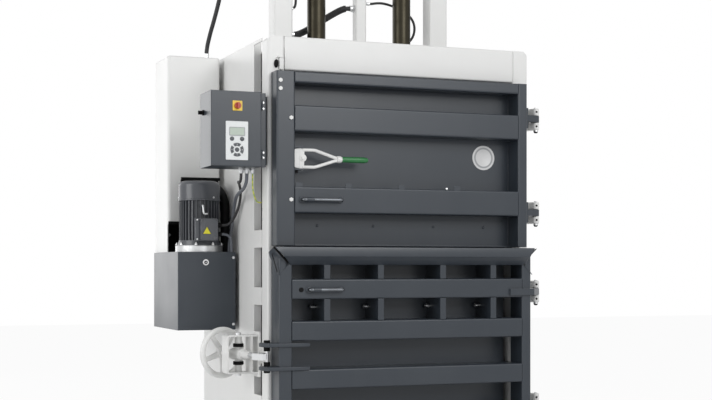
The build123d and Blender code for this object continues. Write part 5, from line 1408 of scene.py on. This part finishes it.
@dataclass
class PowerUnit:
    """Cabinet, hood and motor on the left side."""

    motor: tuple[float, float] = (-0.855, 0.035)
    terminal_front: float = -0.126
    terminal_z: float = 1.300
    cabinet_top: float = 1.190
    flange_top: float = 1.222
    cowl_foot: float = 1.446
    hood_edge: float = 0.159
    shade_sheet_back: float = 0.330

    def build(self) -> None:
        """Dress the unit and add its flange, pipe, black sheets of painted shade in the hood, warning
        triangle and screws.
        """
        dress(WHITE, "hood")
        dress(ANTHRACITE, "power_cabinet", "cabinet_cover")
        dress(ZINC, "cabinet_lock", "motor_rotor")
        dress(MOTOR, "motor_body", "motor_cowl")
        self._terminal_box()
        self._flange()
        self._cowl_rim()
        self._shade_sheets()
        self._edge_shades_and_bolt()
        self._pipe()
        self._triangle()
        self._screws()
        self._lock_face()

    def _terminal_box(self) -> None:
        """Terminal box: a wide base, a groove and a smaller raised lid."""
        x, z = self.motor[0], self.terminal_z
        base = slab(soft_rectangle(0.110, 0.114, 0.004), 0.036, (x, -0.068, z))
        neck = slab(soft_rectangle(0.084, 0.100, 0.004), 0.004, (x + 0.010, -0.104, z))
        lid = slab(soft_rectangle(0.088, 0.106, 0.005), 0.018, (x + 0.010, -0.108, z))
        make_piece("wiring_box", [base, neck, lid], MOTOR, "frame", 0.0022, ("terminal_box",))
        pip = head([(0.0042, 0.0), (0.004, 0.003), (0.0, 0.004)], (x, -0.104, z), FORWARD, 18)
        places = [(-0.047, 0.0, shift) for shift in (-0.048, 0.048)]
        make_piece("wiring_box_screws", [pip.at_each(places)], ZINC, "frame")

    def _flange(self) -> None:
        """Bright cast flange on the cabinet with a dark conical foot, and its hexagon bolts."""
        x, y = self.motor
        low, top = self.cabinet_top + 0.0005, self.flange_top
        ring = [(0.100, top + 0.0015), (0.1165, top + 0.0015), (0.1195, top - 0.002), (0.1195, low + 0.004),
                (0.1215, low + 0.003), (0.1215, low), (0.118, low), (0.1182, top + 0.0005),
                (0.100, top + 0.0005)]
        make_piece("motor_flange", [turned(ring, (x, y, 0.0), UPWARD, 72)], ALUMINIUM, "frame", 0.0008)
        cone = [(0.098, top + 0.002), (0.109, top + 0.002), (0.108, top + 0.007), (0.1045, top + 0.022),
                (0.1035, top + 0.026), (0.098, top + 0.026), (0.098, top + 0.002)]
        make_piece("motor_foot", [turned(cone, (x, y, 0.0), UPWARD, 72)], MOTOR, "frame")
        bolt_circle = 0.1125 * bearings(spokes(8) + math.radians(22.5))
        places = [(x + right, y + back, top + 0.0015) for right, back in bolt_circle]
        bolts = [hexagonal(0.013, 0.008, place, UPWARD) for place in places]
        bolts += [head([(0.0034, 0.0), (0.0034, 0.014), (0.0, 0.015)], place, UPWARD, 14) for place in places]
        make_piece("flange_bolts", bolts, ZINC, "frame")

    def _cowl_rim(self) -> None:
        """Rolled bead round the cowl's foot and its three screws."""
        x, y = self.motor
        bead = [(0.1052, 0.0), (0.1075, 0.001), (0.1082, 0.004), (0.1075, 0.007), (0.1052, 0.008),
                (0.1052, 0.0)]
        make_piece("cowl_bead", [turned(bead, (x, y, self.cowl_foot + 0.001), UPWARD, 72)], MOTOR, "frame")
        heads = []
        for right, back in bearings(np.radians([-62.0, 58.0, 178.0])):
            centre = (x + 0.105 * right, y + 0.105 * back, self.cowl_foot + 0.016)
            heads.append(head([(0.005, 0.0), (0.0045, 0.0025), (0.0, 0.0035)], centre, (right, back, 0.0)))
        make_piece("cowl_screws", heads, ZINC, "frame")

    def _shade_sheets(self) -> None:
        """Black sheets behind the hood's opening, a back, two cheeks and a roof, that paint the shade inside
        the hood.
        """
        left, right, front, back = -0.9795, -0.7175, 0.176, self.shade_sheet_back
        low, top, thick = self.cabinet_top + 0.001, 1.640, 0.003
        panels = [
            ((left, right), (back, back + thick), (low, top)),
            ((left, left + thick), (front, back), (low, top)),
            ((right - thick, right), (front, back), (low, top)),
            ((left, right), (front, back), (top, top + thick))]
        patches = []
        for (x_low, x_high), (y_low, y_high), (z_low, z_high) in panels:
            outline = soft_rectangle(x_high - x_low, z_high - z_low, 0.001, 2)
            centre = ((x_low + x_high) / 2, y_high, (z_low + z_high) / 2)
            patches.append(slab(outline, y_high - y_low, centre))
        make_piece("hood_painted_shade", patches, BLACK, "frame")

    def _edge_shades_and_bolt(self) -> None:
        """Black strips along the hood's opening that paint the shade band at its edges, and the bolt in the
        back of the shade sheets.
        """
        upper = slab(soft_rectangle(0.206, 0.015, 0.002), 0.003, (-0.815, self.hood_edge, 1.5675))
        lower = slab(soft_rectangle(0.064, 0.015, 0.002), 0.003, (-0.952, self.hood_edge, 1.3405))
        make_piece("hood_edge_shade", [upper, lower], BLACK, "frame")
        bolt = head([(0.008, 0.0), (0.007, 0.004), (0.0, 0.005)], (-0.936, self.shade_sheet_back, 1.283), FORWARD)
        make_piece("hood_back_bolt", [bolt], ZINC, "frame")

    def _pipe(self) -> None:
        """Black pressure pipe from the cabinet's top behind the motor and into the hood, thick enough to
        paint the shade between the motor and the side wall as well, and a short lead.

        The pipe's centre line is an upright run and then a quadratic arc to the back.
        """
        foot, bend = (-0.7165, 0.040, 1.1905), (-0.7165, 0.052, 1.400)
        peak, mouth = np.array((-0.7165, 0.060, 1.532)), np.array((-0.748, 0.270, 1.532))
        share = np.linspace(0.0, 1.0, 30)[1:, None]
        arc = (1 - share) ** 2 * bend + 2 * share * (1 - share) * peak + share**2 * mouth
        path = np.vstack([straight(foot, bend, 20), arc])
        # The pipe is partly a real pipe and partly painted shade of the dark gap beside the motor.
        make_piece("pressure_pipe_and_shade", [swept(path, disc_section(0.0235, 24), RIGHTWARD)], BLACK, "frame")
        turns = [(-0.776, -0.091, 1.278), (-0.750, -0.092, 1.279), (-0.728, -0.094, 1.262),
                 (-0.724, -0.096, 1.228), (-0.724, -0.096, 1.191)]
        lead = swept(spline_points(turns, 12), disc_section(0.0068, 14), (0.0, 1.0, 0.0))
        make_piece("motor_lead", [lead], CONDUIT, "frame")

    def _triangle(self) -> None:
        """Bare yellow triangle with a thin dark border on the terminal box."""
        centre = (self.motor[0] - 0.003, self.terminal_front, 1.290)
        layers = (("triangle_border", 0.0255, 0.0008, BLACK), ("triangle", 0.0225, 0.0014, SIGN))
        for name, radius, lift, finish in layers:
            make_piece(name, [slab(triangle(radius), lift, centre)], finish, "frame", 0.0002)

    def _screws(self) -> None:
        """Corner screws of the terminal box, and the cover's two bolts."""
        screw = head([(0.005, 0.0), (0.005, 0.003), (0.003, 0.0042), (0.0, 0.0042)],
                     (self.motor[0] + 0.010, self.terminal_front, self.terminal_z), FORWARD)
        places = [(x, 0.0, z) for x in (-0.038, 0.038) for z in (-0.046, 0.046)]
        make_piece("terminal_screws", [screw.at_each(places)], MOTOR, "frame")
        bolts = [hexagonal(0.013, 0.005, (-0.720, -0.114, z), FORWARD) for z in (0.831, 1.162)]
        make_piece("cover_bolts", bolts, ZINC, "frame")

    def _lock_face(self) -> None:
        """Dark insert in the quarter-turn lock, with a bright three-cornered post."""
        face = (-0.860, -0.1145, 1.138)
        insert = head([(0.0085, 0.0), (0.0085, 0.0008), (0.0, 0.0008)], face, FORWARD, 28)
        make_piece("lock_insert", [insert], BLACK, "cabinet_key")
        make_piece("lock_post", [slab(triangle(0.0048), 0.0024, face)], ZINC, "cabinet_key")


@dataclass
class Ram:
    """Pressing plate and cylinder barrels inside the chamber."""

    def build(self) -> None:
        """Dress the ram's nodes."""
        dress(LINER, "ram")
        dress(BARREL, "cylinder_barrels")


def main() -> None:
    """Build the studio and every sub-assembly."""
    logging.basicConfig(level=logging.INFO, format="%(name)s: %(message)s")
    for kind in (Studio, Lines, MainFrame, UpperDoor, LowerDoor, DoorLock, ControlBox, PowerUnit, Ram):
        kind().build()
        LOG.info("finished %s", kind.__name__)


if __name__ == "__main__":
    main()
